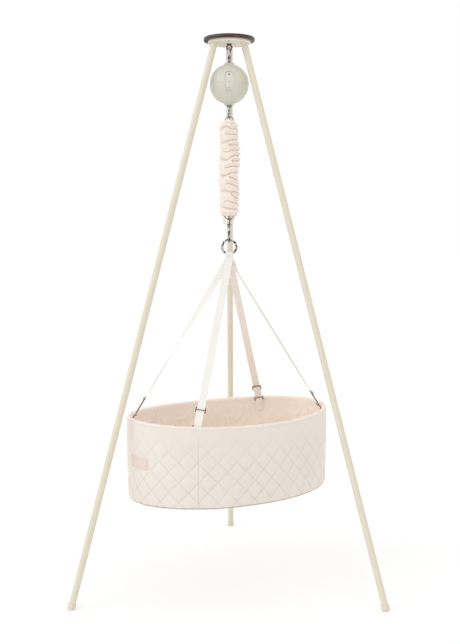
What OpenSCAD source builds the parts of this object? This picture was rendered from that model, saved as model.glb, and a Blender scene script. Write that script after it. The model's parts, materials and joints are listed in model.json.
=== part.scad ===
// A baby's cradle that hangs from a tripod stand. A motor ball, a sprung link in a cloth
// sleeve and a steel ring hang in one chain below the head, and four straps carry the cradle.
// The floor is z = 0 and the rear leg points to +Y.

/* [Stand] */
// Height from the floor to the top of the wooden head disc
stand_h = 1850; // [1700:10:2000]
// Radius of the circle that the three feet stand on
foot_circle_r = 585; // [540:5:660]
// Outer diameter of a leg tube
leg_d = 22; // [18:0.5:25]
// Wall of a leg tube
leg_wall = 1.5; // [1:0.1:2.5]
// How far a foot knob stands proud of its leg
foot_flare = 2.5; // [1.5:0.5:6]
// Height of a foot knob, measured along its leg
foot_h = 20; // [15:1:30]
// Length of the spigot that holds a foot in its tube
foot_spigot = 35; // [20:1:60]
// Length of the plug in the top of a leg
leg_plug_len = 45; // [35:1:80]
// Radius of a leg bolt
leg_bolt_r = 3; // [2:0.5:4]
// Length of a leg bolt under its head
leg_bolt_len = 34; // [28:1:40]

/* [Head] */
// Diameter of the head plate
plate_d = 143; // [134:1:160]
// Thickness of the head plate
plate_t = 7; // [6:0.5:12]
// How far the wooden disc overhangs the head plate
disc_overhang = 13.5; // [5:0.5:25]
// Thickness of the wooden disc
disc_t = 12; // [11:0.5:20]
// Distance from the edge of the head plate to the axis of a leg
leg_inset = 15.5; // [14:0.5:20]
// Radius of the circle of wood screws that hold the disc
disc_screw_r = 58; // [50:1:62]
// Length of a disc screw
disc_screw_len = 13; // [11:0.5:14]
// Radius of the eye bolt's shank
eye_shank_r = 4; // [3:0.5:5]
// Radius of the collar under the head plate
eye_collar_r = 9; // [7:0.5:12]
// Thickness of that collar
eye_collar_t = 3; // [2:0.5:5]
// Thickness of the eye bolt's nut
eye_nut_t = 5; // [4:0.5:6]

/* [Hooks] */
// Wire of the upper snap hook
upper_wire = 6; // [5:0.5:7]
// Length of the upper snap hook
upper_len = 56; // [52:1:70]
// Width of the upper snap hook
upper_w = 28; // [26:0.5:32]
// Turn of the upper snap hook about the vertical
upper_turn = 80; // [60:1:110]
// Wire of the lower snap hook
lower_wire = 4.5; // [4:0.5:5]
// Length of the lower snap hook
lower_len = 42; // [40:1:56]
// Width of the lower snap hook
lower_w = 23; // [21:0.5:26]
// Turn of the lower snap hook about the vertical
lower_turn = 75; // [60:1:110]
// Wire of the swivel snap hook
swivel_wire = 6; // [5:0.5:7]
// Length of the swivel snap hook's frame
swivel_len = 54; // [50:1:70]
// Width of the swivel snap hook
swivel_w = 28; // [26:0.5:32]
// Turn of the swivel snap hook about the vertical
swivel_turn = 86; // [60:1:110]
// Radius of a gate's pin
gate_pin_r = 0.8; // [0.6:0.1:1]
// Wire of the head eye and the swivel eye
eye_wire = 5; // [4:0.5:6]
// Room beside the hook's wire in the head eye
head_eye_slack = 6; // [4:0.5:8]

/* [Motor ball] */
// Outer diameter of the motor ball
ball_d = 131; // [124:1:138]
// Wall of the two shells
shell_t = 2.8; // [2:0.1:4]
// How far the top and bottom collars stand out of the ball
collar_h = 3; // [2:0.5:5]
// Radius of the collars
collar_r = 17; // [16:0.5:20]
// Height of the control panel
panel_h = 76; // [70:1:84]
// Width of the control panel
panel_w = 37; // [32:0.5:42]
// Width of the panel's raised rim
panel_rim = 4; // [3:0.5:6]
// Depth of the panel's floor under the ball's surface
panel_depth = 3; // [2:0.5:4]
// Height of the panel's middle above the ball's equator
panel_lift = 2.5; // [0:0.5:6]
// Diameter of the two buttons
button_d = 12; // [10:0.5:14]
// Distance between the two buttons
button_pitch = 23; // [20:0.5:26]
// Travel of a button
button_travel = 1.2; // [0.8:0.1:1.5]
// Distance from the upper button to the status lens
lens_pitch = 24; // [20:0.5:26]
// Radius of the status lens
lens_r = 2.5; // [1.5:0.1:3]
// Radius of the winding drum
drum_r = 10; // [8:0.5:12]
// Width of the winding drum between its flanges
drum_w = 8; // [6:0.5:12]
// Length of the motor can
can_len = 26; // [20:1:28]
// Radius of the motor can
can_r = 12; // [9:0.5:13]
// Radius of the pull cord
pull_cord_r = 1.5; // [1:0.1:2]
// Wire of the bail and of the pull eye
bail_wire = 4.5; // [3.5:0.5:5]

/* [Spring and sleeve] */
// Length of the coiled part of the spring
coil_len = 316; // [260:2:380]
// Middle radius of the spring's coils
coil_r = 14; // [12:0.5:15]
// Wire of the spring
spring_wire = 3; // [2:0.5:3.5]
// Number of curls in the spring
coil_turns = 24; // [16:1:28]
// Outer radius of the sleeve between its gathers
sleeve_r = 27; // [24:0.5:32]
// Height of a gather
gather_h = 6; // [3:0.5:8]
// Distance from one gather to the next
gather_pitch = 19; // [16:1:28]
// How far the spring's top loop stands out of the sleeve
sleeve_top_gap = 6; // [4:1:12]
// Radius of the safety cord
safety_cord_r = 2; // [1.5:0.1:2.5]

/* [Swivel and ring] */
// Radius of the swivel's housing
swivel_r = 7; // [6:0.5:10]
// Height of the swivel's housing
swivel_h = 9.5; // [9:0.5:14]
// Radius of the swivel's pin
swivel_pin_r = 3; // [2:0.1:3.5]
// Wire of the ring
ring_wire = 8; // [6:0.5:9]
// Inner diameter of the ring
ring_hole = 40; // [36:1:50]

/* [Cradle] */
// Length of the cradle
cradle_len = 740; // [680:5:770]
// Width of the cradle
cradle_w = 500; // [440:5:540]
// Height of the cradle from its base to its rim
cradle_h = 270; // [220:2:300]
// Drop from the middle of the ring to the rim
strap_drop = 562; // [520:2:600]
// Turn of the cradle's long axis about the vertical
cradle_turn = 31; // [0:1:60]
// Power of the cradle's oval, where 2 is an ellipse
oval_power = 2.02; // [2:0.02:2.6]
// How far the wall draws in from the rim to the base
wall_taper = 5; // [0:1:20]
// How far the rim rises at the ends and dips at the sides
rim_saddle = 5; // [0:0.5:10]
// Thickness of the padded outer cover
cover_t = 4; // [3:0.5:6]
// Thickness of the stiff wall inside
wall_t = 8; // [5:0.5:12]
// Thickness of the inner lining
liner_t = 3; // [2:0.5:5]
// Thickness of the base board
board_t = 8; // [5:0.5:12]
// Thickness of the mattress at its edge
mattress_t = 42; // [30:1:60]
// Rise of the mattress from its edge to its middle
mattress_crown = 9; // [4:1:16]
// Length of the bare label patch
label_len = 87; // [60:1:120]
// Height of the bare label patch
label_h = 39; // [25:1:50]
// Height of the label patch's middle above the base
label_lift = 137; // [60:1:160]

/* [Straps] */
// Width of the webbing
web_w = 25; // [20:0.5:27]
// Thickness of the webbing
web_t = 1.6; // [1:0.1:2]
// Wire of the sliders and the anchor loops
bar_d = 2.6; // [2:0.1:3]
// Length of a slider along its strap
slider_len = 14; // [12:0.5:18]
// Length of an anchor loop along its strap
anchor_len = 12; // [11:0.5:16]
// Depth of the anchor loops' lower bars below the rim
anchor_drop = 11; // [10:0.5:20]
// Length of the tabs sewn inside the rim
tab_len = 40; // [25:1:60]
// Length of the webbing flaps under the ring
flap_len = 16; // [14:1:30]
// Doubled length of the left strap
fold_left = 61; // [40:1:80]
// Doubled length of the front strap
fold_front = 53; // [40:1:80]
// Doubled length of the back strap
fold_back = 43; // [40:1:80]
// Doubled length of the right strap
fold_right = 48; // [34:1:80]

/* [Hidden] */
$fn = 48;

// Clearances
link_gap = 0.3;       // between two links that hang in each other
soft_gap = 0.3;       // beside a soft piece
run_gap = 0.05;       // radial, between a shaft and its bore
slip_gap = 0.15;      // beside a piece that is pushed in
eps = 0.01;           // overrun of a cut

// Stand
leg_r = leg_d / 2;
leg_bore_r = leg_r - leg_wall;
plate_r = plate_d / 2;
disc_r = plate_r + disc_overhang;
disc_z = stand_h - disc_t;                       // underside of the disc
plate_z = disc_z - plate_t;                      // underside of the plate
leg_top_r = plate_r - leg_inset;
leg_tilt = atan((foot_circle_r - leg_top_r) / plate_z);
leg_len = plate_z / cos(leg_tilt);               // along the leg, floor to plate
leg_angles = [210, 330, 90];
foot_r = leg_r + foot_flare;
bolt_head_r = leg_bolt_r + 2.2;
bolt_head_t = 3;
bolt_seat = plate_t / 2;                         // plate left under a bolt's head
// The stand's middle lies behind its axis, because two feet are in front and one is behind.
foot_profile = concat([[0, -foot_r]],
    [for (a = [-60 : 10 : 60]) [foot_r - 3 + 3 * cos(a), foot_h / 2 + (foot_h / 2 - 1) * sin(a) / sin(60)]],
    [[leg_r - 0.8, foot_h - 1], [leg_r - 0.8, foot_h], [0, foot_h]]);
function foot_reach(k) = max([for (p = foot_profile) p[0] * sqrt(1 - k * k) - p[1] * k]);
axis_y = -(foot_circle_r / 2 + foot_reach(sin(leg_tilt)) - foot_reach(sin(leg_tilt) / 2)) / 2;

// Chain, from the head down
head_eye_r = (upper_wire + head_eye_slack + eye_wire) / 2;
head_eye_z = plate_z - eye_collar_t - head_eye_r - eye_wire / 2 + 1.5;
upper_top_z = head_eye_z - head_eye_r + eye_wire / 2 + link_gap + upper_wire;
upper_z = upper_top_z - upper_len / 2;
bail_r = (upper_wire + 2.5 + bail_wire) / 2;
bail_z = upper_z - upper_len / 2 + upper_wire + link_gap + bail_wire / 2 - bail_r;
bail_rise = 0.5;                                 // bail's middle above the top of the ball
ball_r = ball_d / 2;
ball_z = bail_z - bail_rise - ball_r;
pull_eye_wire = bail_wire - 0.5;
pull_eye_r = (lower_wire + 4.5 + pull_eye_wire) / 2;
pull_eye_drop = 4.8;                             // pull eye's middle below the ball
pull_eye_z = ball_z - ball_r - pull_eye_drop;
lower_top_z = pull_eye_z - pull_eye_r + pull_eye_wire / 2 + link_gap + lower_wire;
lower_z = lower_top_z - lower_len / 2;
coil_top_z = lower_z - lower_len / 2 + lower_wire + link_gap + spring_wire / 2 - coil_r;
coil_end_z = coil_top_z - coil_len;
swivel_eye_r = head_eye_r;
swivel_eye_z = coil_end_z - coil_r + spring_wire / 2 + link_gap + eye_wire / 2 - swivel_eye_r;
housing_top_z = swivel_eye_z - swivel_eye_r - eye_wire / 2 + 1;
housing_z = housing_top_z - swivel_h;            // underside of the swivel's housing
swivel_top_z = housing_z - 1;
swivel_z = swivel_top_z - swivel_len / 2;
ring_r = (ring_hole + ring_wire) / 2;
ring_z = swivel_z - swivel_len / 2 + swivel_wire + link_gap + ring_wire / 2 - ring_r;
rim_z = ring_z - strap_drop;
base_z = rim_z - cradle_h;

// Motor ball: heights are from its middle, and depths are forwards from it
ball_in_r = ball_r - shell_t;
panel_z = panel_lift;
panel_front_r = ball_r - panel_depth;
panel_t = 2.6;
panel_back_r = panel_front_r - panel_t;
panel_proud = 0.8;
speed_z = panel_lift - button_pitch - 2;
power_z = speed_z + button_pitch;
lens_z = power_z + lens_pitch;
button_r = button_d / 2;
button_proud = 1.8;
flange_over = 1.5;                               // button flange beyond the button
flange_t = 1.2;
board_depth = 42;                                // front face of the circuit board
board_t2 = 1.6;
board_w = 28;
switch_t = 3.2;
chassis_y = 12;                                  // front face of the upright plate
chassis_t = 3;
chassis_top_z = 42;
shelf_z = -32;                                   // underside of the chassis's lower shelf
drum_y = -drum_r - pull_cord_r;                  // the cord drops from the drum on the axis
drum_z = -4;
drum_flange_r = drum_r + 4;
drum_flange_t = 1.5;
shaft_r = 3;
bracket_x = drum_w / 2 + drum_flange_t + 1;      // near face of a bracket that carries the shaft
bracket_t = 3;
gearbox_x = bracket_x + bracket_t + run_gap;
gearbox_t = 14;
gearbox_w = 24;
bail_shank_r = 3;
pocket_r = upper_w / 2 + 0.3;
pocket_z = bail_rise + ball_r - bail_r - bail_wire / 2 - 0.5;
pocket_floor_t = 3;
bail_foot_r = 8;
bail_foot_t = 2;
exit_r = pull_eye_r + pull_eye_wire / 2 + 1.5;
exit_z = -ball_r + 6;                            // floor of the pocket that the pull eye sits in
pull_boss_z = exit_z + pull_eye_drop + ball_r - link_gap;  // from the pull eye's middle
inlet_z = 22;
inlet_turn = 60;                                 // from straight back, so that a plug clears the rear leg
inlet_r = 5;
inlet_bore_r = inlet_r - 2;
inlet_bore_len = 9.55;
inlet_len = 19;
inlet_flange_r = inlet_r + 2;
screw_pitch_r = 44;
screw_seat = 1.2;
screw_z = -sqrt(ball_r * ball_r - screw_pitch_r * screw_pitch_r);
screw_r = 1.5;
screw_angles = [20, 90, 160];

// Cradle
oval_n = 72;
roll_r = (cover_t + wall_t + liner_t + 2 * soft_gap) / 2;
wall_all = 2 * roll_r;
stiff_in = cover_t + soft_gap;                   // insets from the outer face
liner_in = stiff_in + wall_t + soft_gap;
board_z = base_z + cover_t + soft_gap;
mattress_z = board_z + board_t + soft_gap;
strap_angles = [159, 230.5, 48.75, -19.5];
strap_folds = [fold_left, fold_front, fold_back, fold_right];
label_angle = 189;
label_z = base_z + label_lift;
label_spread = 57 * label_len / cradle_w;        // half its length as an angle of the oval

// Straps
web_gap = bar_d / 2 + 0.1;                       // from a bar's axis to the webbing round it
layer_off = web_gap + web_t / 2;
loop_in_r = ring_wire / 2 + 0.5;
loop_out_r = loop_in_r + web_t;
ring_low_z = ring_z - ring_r;                    // middle of the ring's wire at its lowest
flap_z = ring_low_z - flap_len;
flap_gap = 0.4;                                  // straps and flaps at the ring
strap_y = [-web_t / 2 - flap_gap, -loop_out_r - flap_gap - web_t / 2,
    loop_out_r + flap_gap + web_t / 2, web_t / 2 + flap_gap];
strap_top_z = ring_low_z - ring_wire / 2 - 2;
twist_len = 110;
anchor_bar_w = web_w + 2 * bar_d + 1;
// The wall curves away behind a flat anchor by this much at the ends of the oval.
anchor_bow = anchor_bar_w * anchor_bar_w * cradle_len / cradle_w / cradle_w / 4;
tab_fold = layer_off + 0.5;                      // a tab turns about its bar a little askew
tab_gap = 1.4;                                   // behind a tab, where the lining is made of flats
tab_close = 13;                                  // below its bar, where a tab meets itself again
seat_inset = wall_all + tab_gap + web_t / 2 + tab_fold + anchor_bow;

module at_axis(z = 0) translate([0, axis_y, z]) children();
module at_ball() at_axis(ball_z) children();
module in_cradle() at_axis() rotate([0, 0, cradle_turn]) children();
module along_leg(i) at_axis() rotate([0, 0, leg_angles[i]])
    translate([foot_circle_r, 0, 0]) rotate([0, -leg_tilt, 0]) children();

// ---- helpers for shapes that are lofted from rings of points ----

function unit(v) = v / norm(v);
function flat2(rings) = [for (r = rings) each r];
function side_faces(m, n, wrap) = [for (i = [0 : m - (wrap ? 1 : 2)], j = [0 : n - 1])
    let (a = i * n + j, b = i * n + (j + 1) % n, k = (i + 1) % m,
        c = k * n + (j + 1) % n, d = k * n + j) each [[a, b, c], [a, c, d]]];
function middle(ring) = [for (k = [0 : 2]) [for (p = ring) p[k]] * [for (p = ring) 1] / len(ring)];

// A closed band: rings run outer top, outer bottom, inner bottom, inner top.
module band(rings) polyhedron(flat2(rings), side_faces(len(rings), len(rings[0]), true));

// A solid from its top ring down to its bottom ring, with both ends closed.
module stack(rings) {
    m = len(rings);
    n = len(rings[0]);
    ends = [for (j = [0 : n - 1]) let (k = (j + 1) % n)
        each [[m * n, k, j], [m * n + 1, (m - 1) * n + j, (m - 1) * n + k]]];
    polyhedron(concat(flat2(rings), [middle(rings[0]), middle(rings[m - 1])]),
        concat(side_faces(m, n, false), ends));
}

// A round tube of k sides along points, with a side vector given for each point.
module tube(points, sides, r, k) {
    last = len(points) - 1;
    stack([for (i = [0 : last])
        let (t = unit(points[min(i + 1, last)] - points[max(i - 1, 0)]),
            n = unit(sides[i] - (sides[i] * t) * t), b = cross(t, n))
        [for (j = [0 : k - 1]) points[i] + r * (cos(360 * j / k) * n - sin(360 * j / k) * b)]]);
}

// A flat ribbon along points, with a width direction given for each point.
module ribbon(points, across, w, t) {
    last = len(points) - 1;
    stack([for (i = [0 : last])
        let (d = unit(points[min(i + 1, last)] - points[max(i - 1, 0)]),
            a = unit(across[i] - (across[i] * d) * d), n = cross(d, a))
        [for (q = [[1, 1], [1, -1], [-1, -1], [-1, 1]]) points[i] + q[0] * w / 2 * a + q[1] * t / 2 * n]]);
}

// A ring of round wire that stands upright, turned about the vertical.
module eye(mean_r, wire, turn) rotate([0, 0, turn]) rotate([90, 0, 0])
    rotate_extrude() translate([mean_r, 0]) circle(d = wire);

// ---- stand ----

module head_disc() color("#5b3a2c") at_axis() difference() {
    translate([0, 0, disc_z]) rotate_extrude() polygon([[0, 0], [disc_r - 2, 0], [disc_r, 2],
        [disc_r, disc_t - 3], [disc_r - 0.9, disc_t - 0.9], [disc_r - 3, disc_t], [0, disc_t]]);
    translate([0, 0, disc_z - eps]) cylinder(r = eye_shank_r + 6, h = eye_nut_t + 1.5);
    for (i = [0 : 2]) leg_drill(i, bolt_head_r + 2, 0, bolt_head_t + 3);
    for (i = [0 : 2]) disc_screw_at(i) cylinder(r = 1.6, h = disc_screw_len + 0.2);
}

module leg_drill(i, r, from, to) rotate([0, 0, leg_angles[i]])
    translate([foot_circle_r, 0, 0]) rotate([0, -leg_tilt, 0])
    translate([0, 0, leg_len + bolt_seat / cos(leg_tilt) + from]) cylinder(r = r, h = to - from);

module disc_screw_at(i) rotate([0, 0, leg_angles[i] + 60])
    translate([disc_screw_r, 0, plate_z]) children();

module head_plate() color("#e3dac6") at_axis() difference() {
    translate([0, 0, plate_z]) rotate_extrude() polygon([[0, 0], [plate_r - 1.5, 0],
        [plate_r, 1.5], [plate_r, plate_t], [0, plate_t]]);
    translate([0, 0, plate_z - 1]) cylinder(r = eye_shank_r + slip_gap, h = plate_t + 2);
    for (i = [0 : 2]) leg_drill(i, leg_bolt_r + slip_gap, -2 * plate_t, 1);
    for (i = [0 : 2]) leg_drill(i, bolt_head_r + slip_gap, 0, 2 * plate_t);
    for (i = [0 : 2]) disc_screw_at(i) {
        translate([0, 0, -1]) cylinder(r = 1.9, h = plate_t + 2);
        translate([0, 0, -eps]) cylinder(r1 = 3.6, r2 = 1.9, h = 2);
    }
}

module eye_bolt() color("#b9a98f") at_axis() {
    translate([0, 0, plate_z - eye_collar_t]) cylinder(r = eye_collar_r, h = eye_collar_t);
    translate([0, 0, plate_z - 1]) cylinder(r = eye_shank_r, h = 1 + plate_t + eye_nut_t + 1);
    translate([0, 0, head_eye_z]) eye(head_eye_r, eye_wire, upper_turn + 90);
}

module eye_nut() color("#a8a9ad") at_axis(disc_z) difference() {
    cylinder(r = eye_shank_r + 4, h = eye_nut_t, $fn = 6);
    translate([0, 0, -1]) cylinder(r = eye_shank_r + run_gap, h = eye_nut_t + 2);
}

module disc_screws() color("#a8a9ad") at_axis() for (i = [0 : 2]) disc_screw_at(i) {
    cylinder(r = 1.5, h = disc_screw_len);
    cylinder(r1 = 3.4, r2 = 1.5, h = 1.9);
}

module leg_bolts() color("#a8a9ad") at_axis() for (i = [0 : 2]) {
    leg_drill(i, leg_bolt_r, -leg_bolt_len, 0);
    difference() {
        leg_drill(i, bolt_head_r, 0, bolt_head_t);
        leg_drill(i, leg_bolt_r * 0.6, bolt_head_t - 1.5, bolt_head_t + 1);
    }
}

module below_plate() translate([0, 0, plate_z - 300]) cylinder(r = plate_d, h = 300);

module leg_plugs() color("#c9c2b2") for (i = [0 : 2]) difference() {
    intersection() {
        along_leg(i) translate([0, 0, leg_len - leg_plug_len])
            cylinder(r = leg_bore_r - run_gap, h = leg_plug_len + leg_d);
        at_axis() below_plate();
    }
    at_axis() leg_drill(i, leg_bolt_r + run_gap, -leg_bolt_len - 1, 1);
}

module leg(i) color("#e3dac6") difference() {
    along_leg(i) difference() {
        translate([0, 0, foot_h]) cylinder(r = leg_r, h = leg_len + leg_d - foot_h);
        translate([0, 0, foot_h - 1]) cylinder(r = leg_bore_r, h = leg_len + 2 * leg_d);
    }
    at_axis(plate_z) cylinder(r = plate_d, h = 100);
}
module leg_left() leg(0);
module leg_right() leg(1);
module leg_rear() leg(2);

module foot(i) color("#e3dac6") difference() {
    along_leg(i) {
        rotate_extrude() polygon(foot_profile);
        cylinder(r = leg_bore_r - run_gap, h = foot_h + foot_spigot);
    }
    at_axis(-100) translate([-foot_circle_r * 2, -foot_circle_r * 2, 0])
        cube([foot_circle_r * 4, foot_circle_r * 4, 100]);
}
module foot_left() foot(0);
module foot_right() foot(1);
module foot_rear() foot(2);

// ---- snap hooks: the frame is open on +X, where the gate closes it ----

function hook_bow(w, wire) = (w - wire) / 2;
function hook_side(w, l) = (l - w) / 2;
function gate_pivot(w, l, wire) = -hook_side(w, l) + wire / 2 + 0.6;

module hook_frame(w, l, wire) {
    bow = hook_bow(w, wire);
    side = hook_side(w, l);
    pivot = gate_pivot(w, l, wire);
    for (m = [0, 1]) mirror([0, 0, m]) translate([0, 0, side])
        rotate([90, 0, 0]) rotate_extrude(angle = 180) translate([bow, 0]) circle(d = wire);
    translate([-bow, 0, -side]) cylinder(d = wire, h = 2 * side);
    intersection() {
        translate([bow - wire * 0.45, -wire * 0.2, -side - 1])
            cube([wire * 0.9, wire * 0.4, pivot + side + 2.5]);
        translate([bow, 0, pivot]) rotate([90, 0, 0])
            cylinder(r = pivot + side + 1.2, h = wire, center = true);
    }
    translate([bow, 0, pivot]) rotate([90, 0, 0]) cylinder(r = gate_pin_r, h = wire * 0.9, center = true);
}

module hook_gate(w, l, wire) {
    bow = hook_bow(w, wire);
    side = hook_side(w, l);
    pivot = gate_pivot(w, l, wire);
    r = wire * 0.45;
    translate([bow, 0, pivot]) difference() {
        union() {
            cylinder(r = r, h = side - pivot - link_gap);
            sphere(r = r);
        }
        translate([-wire, -wire * 0.2 - slip_gap, -wire])
            cube([2 * wire, wire * 0.4 + 2 * slip_gap, wire * 1.75]);
        rotate([90, 0, 0]) cylinder(r = gate_pin_r + run_gap, h = 2 * wire, center = true);
    }
}

module upper_hook() color("#8f8f92") at_axis(upper_z) rotate([0, 0, upper_turn])
    hook_frame(upper_w, upper_len, upper_wire);
module upper_gate() color("#77787c") at_axis(upper_z) rotate([0, 0, upper_turn])
    hook_gate(upper_w, upper_len, upper_wire);
module lower_hook() color("#8f8f92") at_axis(lower_z) rotate([0, 0, lower_turn])
    hook_frame(lower_w, lower_len, lower_wire);
module lower_gate() color("#77787c") at_axis(lower_z) rotate([0, 0, lower_turn])
    hook_gate(lower_w, lower_len, lower_wire);

// ---- motor ball: heights are from the ball's middle ----

module pill(w, h, d) for (s = [-1, 1]) {
    translate([0, 0, s * (h - w) / 2]) rotate([90, 0, 0]) cylinder(d = w, h = d);
    translate([-w / 2, -d, -(h - w) / 2]) cube([w, d, h - w]);
}

module panel_cut(grow) translate([0, 0, panel_z]) pill(panel_w + grow, panel_h + grow, ball_d);

module half_space(up) translate([-ball_d, -ball_d, up ? 0.15 : -2 * ball_d - 0.15])
    cube([2 * ball_d, 2 * ball_d, 2 * ball_d]);

module ball_shell(up, boss_z) difference() {
    union() {
        intersection() {
            difference() {
                sphere(r = ball_r, $fn = 96);
                sphere(r = ball_in_r, $fn = 96);
            }
            half_space(up);
        }
        mirror([0, 0, up ? 0 : 1]) translate([0, 0, boss_z])
            cylinder(r = collar_r, h = ball_r + collar_h - boss_z);
    }
    panel_cut(0);
}

module shell_upper() color("#c8c5b8") at_ball() difference() {
    ball_shell(true, pocket_z - pocket_floor_t);
    translate([0, 0, pocket_z]) cylinder(r = pocket_r, h = ball_r);
    cylinder(r = bail_shank_r + slip_gap, h = ball_r);
    at_inlet() cylinder(r = inlet_r + slip_gap, h = ball_d);
}

module shell_lower() color("#c8c5b8") at_ball() difference() {
    union() {
        ball_shell(false, -exit_z - pocket_floor_t);
        for (i = [0 : 2]) shell_screw_at(i) translate([0, 0, screw_seat])
            cylinder(r = 4, h = shelf_z - screw_z - screw_seat - run_gap);
    }
    translate([0, 0, exit_z - ball_r]) cylinder(r = exit_r, h = ball_r);
    translate([0, 0, -ball_d]) cylinder(r = pull_cord_r + 1.5, h = ball_d);
    for (i = [0 : 2]) shell_screw_at(i) {
        translate([0, 0, -ball_r]) cylinder(r = screw_r + 1.5, h = ball_r + screw_seat);
        cylinder(r = screw_r + slip_gap, h = ball_r);
    }
}

module shell_screw_at(i) rotate([0, 0, screw_angles[i]]) translate([screw_pitch_r, 0, screw_z]) children();

module shell_screws() color("#8f8f92") at_ball() for (i = [0 : 2]) shell_screw_at(i) {
    translate([0, 0, screw_seat - 1.6]) cylinder(r = screw_r + 1.3, h = 1.55);
    translate([0, 0, screw_seat - 0.1]) cylinder(r = screw_r, h = shelf_z - screw_z - screw_seat + 5);
}

module control_panel() color("#dddacd") at_ball() difference() {
    intersection() {
        panel_cut(-2 * slip_gap);
        difference() {
            sphere(r = ball_r + panel_proud, $fn = 96);
            sphere(r = panel_back_r, $fn = 96);
        }
    }
    difference() {
        translate([0, 0, panel_z]) pill(panel_w - 2 * panel_rim, panel_h - 2 * panel_rim, ball_d);
        sphere(r = panel_front_r, $fn = 96);
    }
    for (z = [power_z, speed_z]) translate([0, 0, z]) rotate([90, 0, 0])
        cylinder(r = button_r + slip_gap, h = ball_d);
    translate([0, 0, lens_z]) rotate([90, 0, 0]) cylinder(r = lens_r + slip_gap, h = ball_d);
}

// How far forward a sphere of radius r reaches at a distance h from its axis
function front(r, h) = sqrt(r * r - h * h);

module button(z) {
    face = front(panel_front_r, z) + button_proud;
    flange = front(panel_back_r, abs(z) + button_r + flange_over) - 2;
    translate([0, 0, z]) rotate([90, 0, 0]) {
        translate([0, 0, flange]) cylinder(r = button_r, h = face - flange - 1);
        translate([0, 0, face - 1]) cylinder(r1 = button_r, r2 = button_r - 1.2, h = 1);
        translate([0, 0, flange - flange_t]) cylinder(r = button_r + flange_over, h = flange_t);
        translate([0, 0, board_depth + switch_t + button_travel + link_gap])
            cylinder(r = 2, h = flange - board_depth - switch_t - button_travel - link_gap - 0.5);
    }
}
module power_button() color("#cfcbbd") at_ball() button(power_z);
module speed_button() color("#cfcbbd") at_ball() button(speed_z);

module status_lens() color("#3c3c3c") at_ball() translate([0, 0, lens_z]) rotate([90, 0, 0])
    translate([0, 0, board_depth]) cylinder(r = lens_r, h = front(panel_front_r, lens_z) + 0.3 - board_depth);

board_low_z = speed_z - 12;
module circuit_board() color("#2f6b4f") at_ball() translate([-board_w / 2, -board_depth, board_low_z])
    cube([board_w, board_t2, lens_z + 4 - board_low_z]);

module button_switches() color("#2b2b2b") at_ball() for (z = [power_z, speed_z])
    translate([-3, -board_depth - switch_t, z - 3]) cube([6, switch_t, 6]);

// The bail's two feet carry the upper shell and the chassis.
module hanging_bail() color("#a8a9ad") at_ball() {
    translate([0, 0, bail_rise + ball_r]) eye(bail_r, bail_wire, upper_turn + 90);
    translate([0, 0, chassis_top_z - 6])
        cylinder(r = bail_shank_r, h = bail_rise + ball_r - bail_r - chassis_top_z + 6);
    translate([0, 0, pocket_z - pocket_floor_t - bail_foot_t - run_gap])
        cylinder(r = bail_foot_r, h = bail_foot_t);
    translate([0, 0, chassis_top_z - 4 - run_gap - bail_foot_t]) cylinder(r = bail_foot_r, h = bail_foot_t);
}

module motor_chassis() color("#9aa0a6") at_ball() difference() {
    union() {
        translate([-22, -12, chassis_top_z - 4]) cube([44, 12 + chassis_y + chassis_t, 4]);
        translate([-34, chassis_y, shelf_z]) cube([68, chassis_t, chassis_top_z - shelf_z]);
        intersection() {
            sphere(r = ball_in_r - 1);
            translate([-ball_r, chassis_y, shelf_z]) cube([2 * ball_r, ball_r, 4]);
        }
        for (m = [0, 1]) mirror([m, 0, 0]) translate([bracket_x, drum_y - 8, drum_z - 8])
            cube([bracket_t, chassis_y - drum_y + 8 + 1, 16]);
        translate([-16, run_gap + board_t2 - board_depth, power_z + 8])
            cube([6, chassis_y + 1 + board_depth - board_t2, 5]);
    }
    translate([-60, drum_y, drum_z]) rotate([0, 90, 0]) cylinder(r = shaft_r + run_gap, h = 120);
    cylinder(r = bail_shank_r + run_gap, h = ball_r);
    for (i = [0 : 2]) shell_screw_at(i) cylinder(r = screw_r + run_gap, h = ball_r);
}

module gearbox() color("#c6c8ca") at_ball() translate([gearbox_x, drum_y, drum_z]) difference() {
    translate([0, -gearbox_w / 2, -gearbox_w / 2]) cube([gearbox_t, gearbox_w, gearbox_w]);
    translate([-1, 0, 0]) rotate([0, 90, 0]) cylinder(r = shaft_r + run_gap, h = 10);
}

module motor_can() color("#8b8f94") at_ball() translate([gearbox_x + gearbox_t + run_gap, drum_y, drum_z])
    rotate([0, 90, 0]) cylinder(r = can_r, h = can_len);

module winding_drum() color("#e8e6e0") at_ball() translate([0, drum_y, drum_z]) rotate([0, 90, 0]) {
    cylinder(r = drum_r, h = drum_w, center = true);
    for (s = [-1, 1]) translate([0, 0, s * (drum_w + drum_flange_t) / 2])
        cylinder(r = drum_flange_r, h = drum_flange_t, center = true);
    translate([0, 0, -bracket_x - bracket_t])
        cylinder(r = shaft_r, h = bracket_x + bracket_t + gearbox_x + 6);
}

module at_inlet() rotate([0, 0, inlet_turn]) translate([0, 0, inlet_z]) rotate([-90, 0, 0]) children();

module power_inlet() color("#2b2b2b") at_ball() at_inlet() {
    mouth = front(ball_r, inlet_z) - 0.45;
    seat = front(ball_in_r, inlet_z + inlet_flange_r) - 0.5;
    difference() {
        union() {
            translate([0, 0, mouth - inlet_len]) cylinder(r = inlet_r, h = inlet_len);
            translate([0, 0, seat - flange_t]) cylinder(r = inlet_flange_r, h = flange_t);
        }
        translate([0, 0, mouth - inlet_bore_len]) cylinder(r = inlet_bore_r, h = 2 * inlet_bore_len);
    }
}

pull_cord_z = pull_boss_z - 2;                   // lower end, from the pull eye's middle
module pull_cord() color("#e8e6e0") at_axis(pull_eye_z + pull_cord_z)
    cylinder(r = pull_cord_r, h = ball_z + drum_z - pull_eye_z - pull_cord_z);

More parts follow.
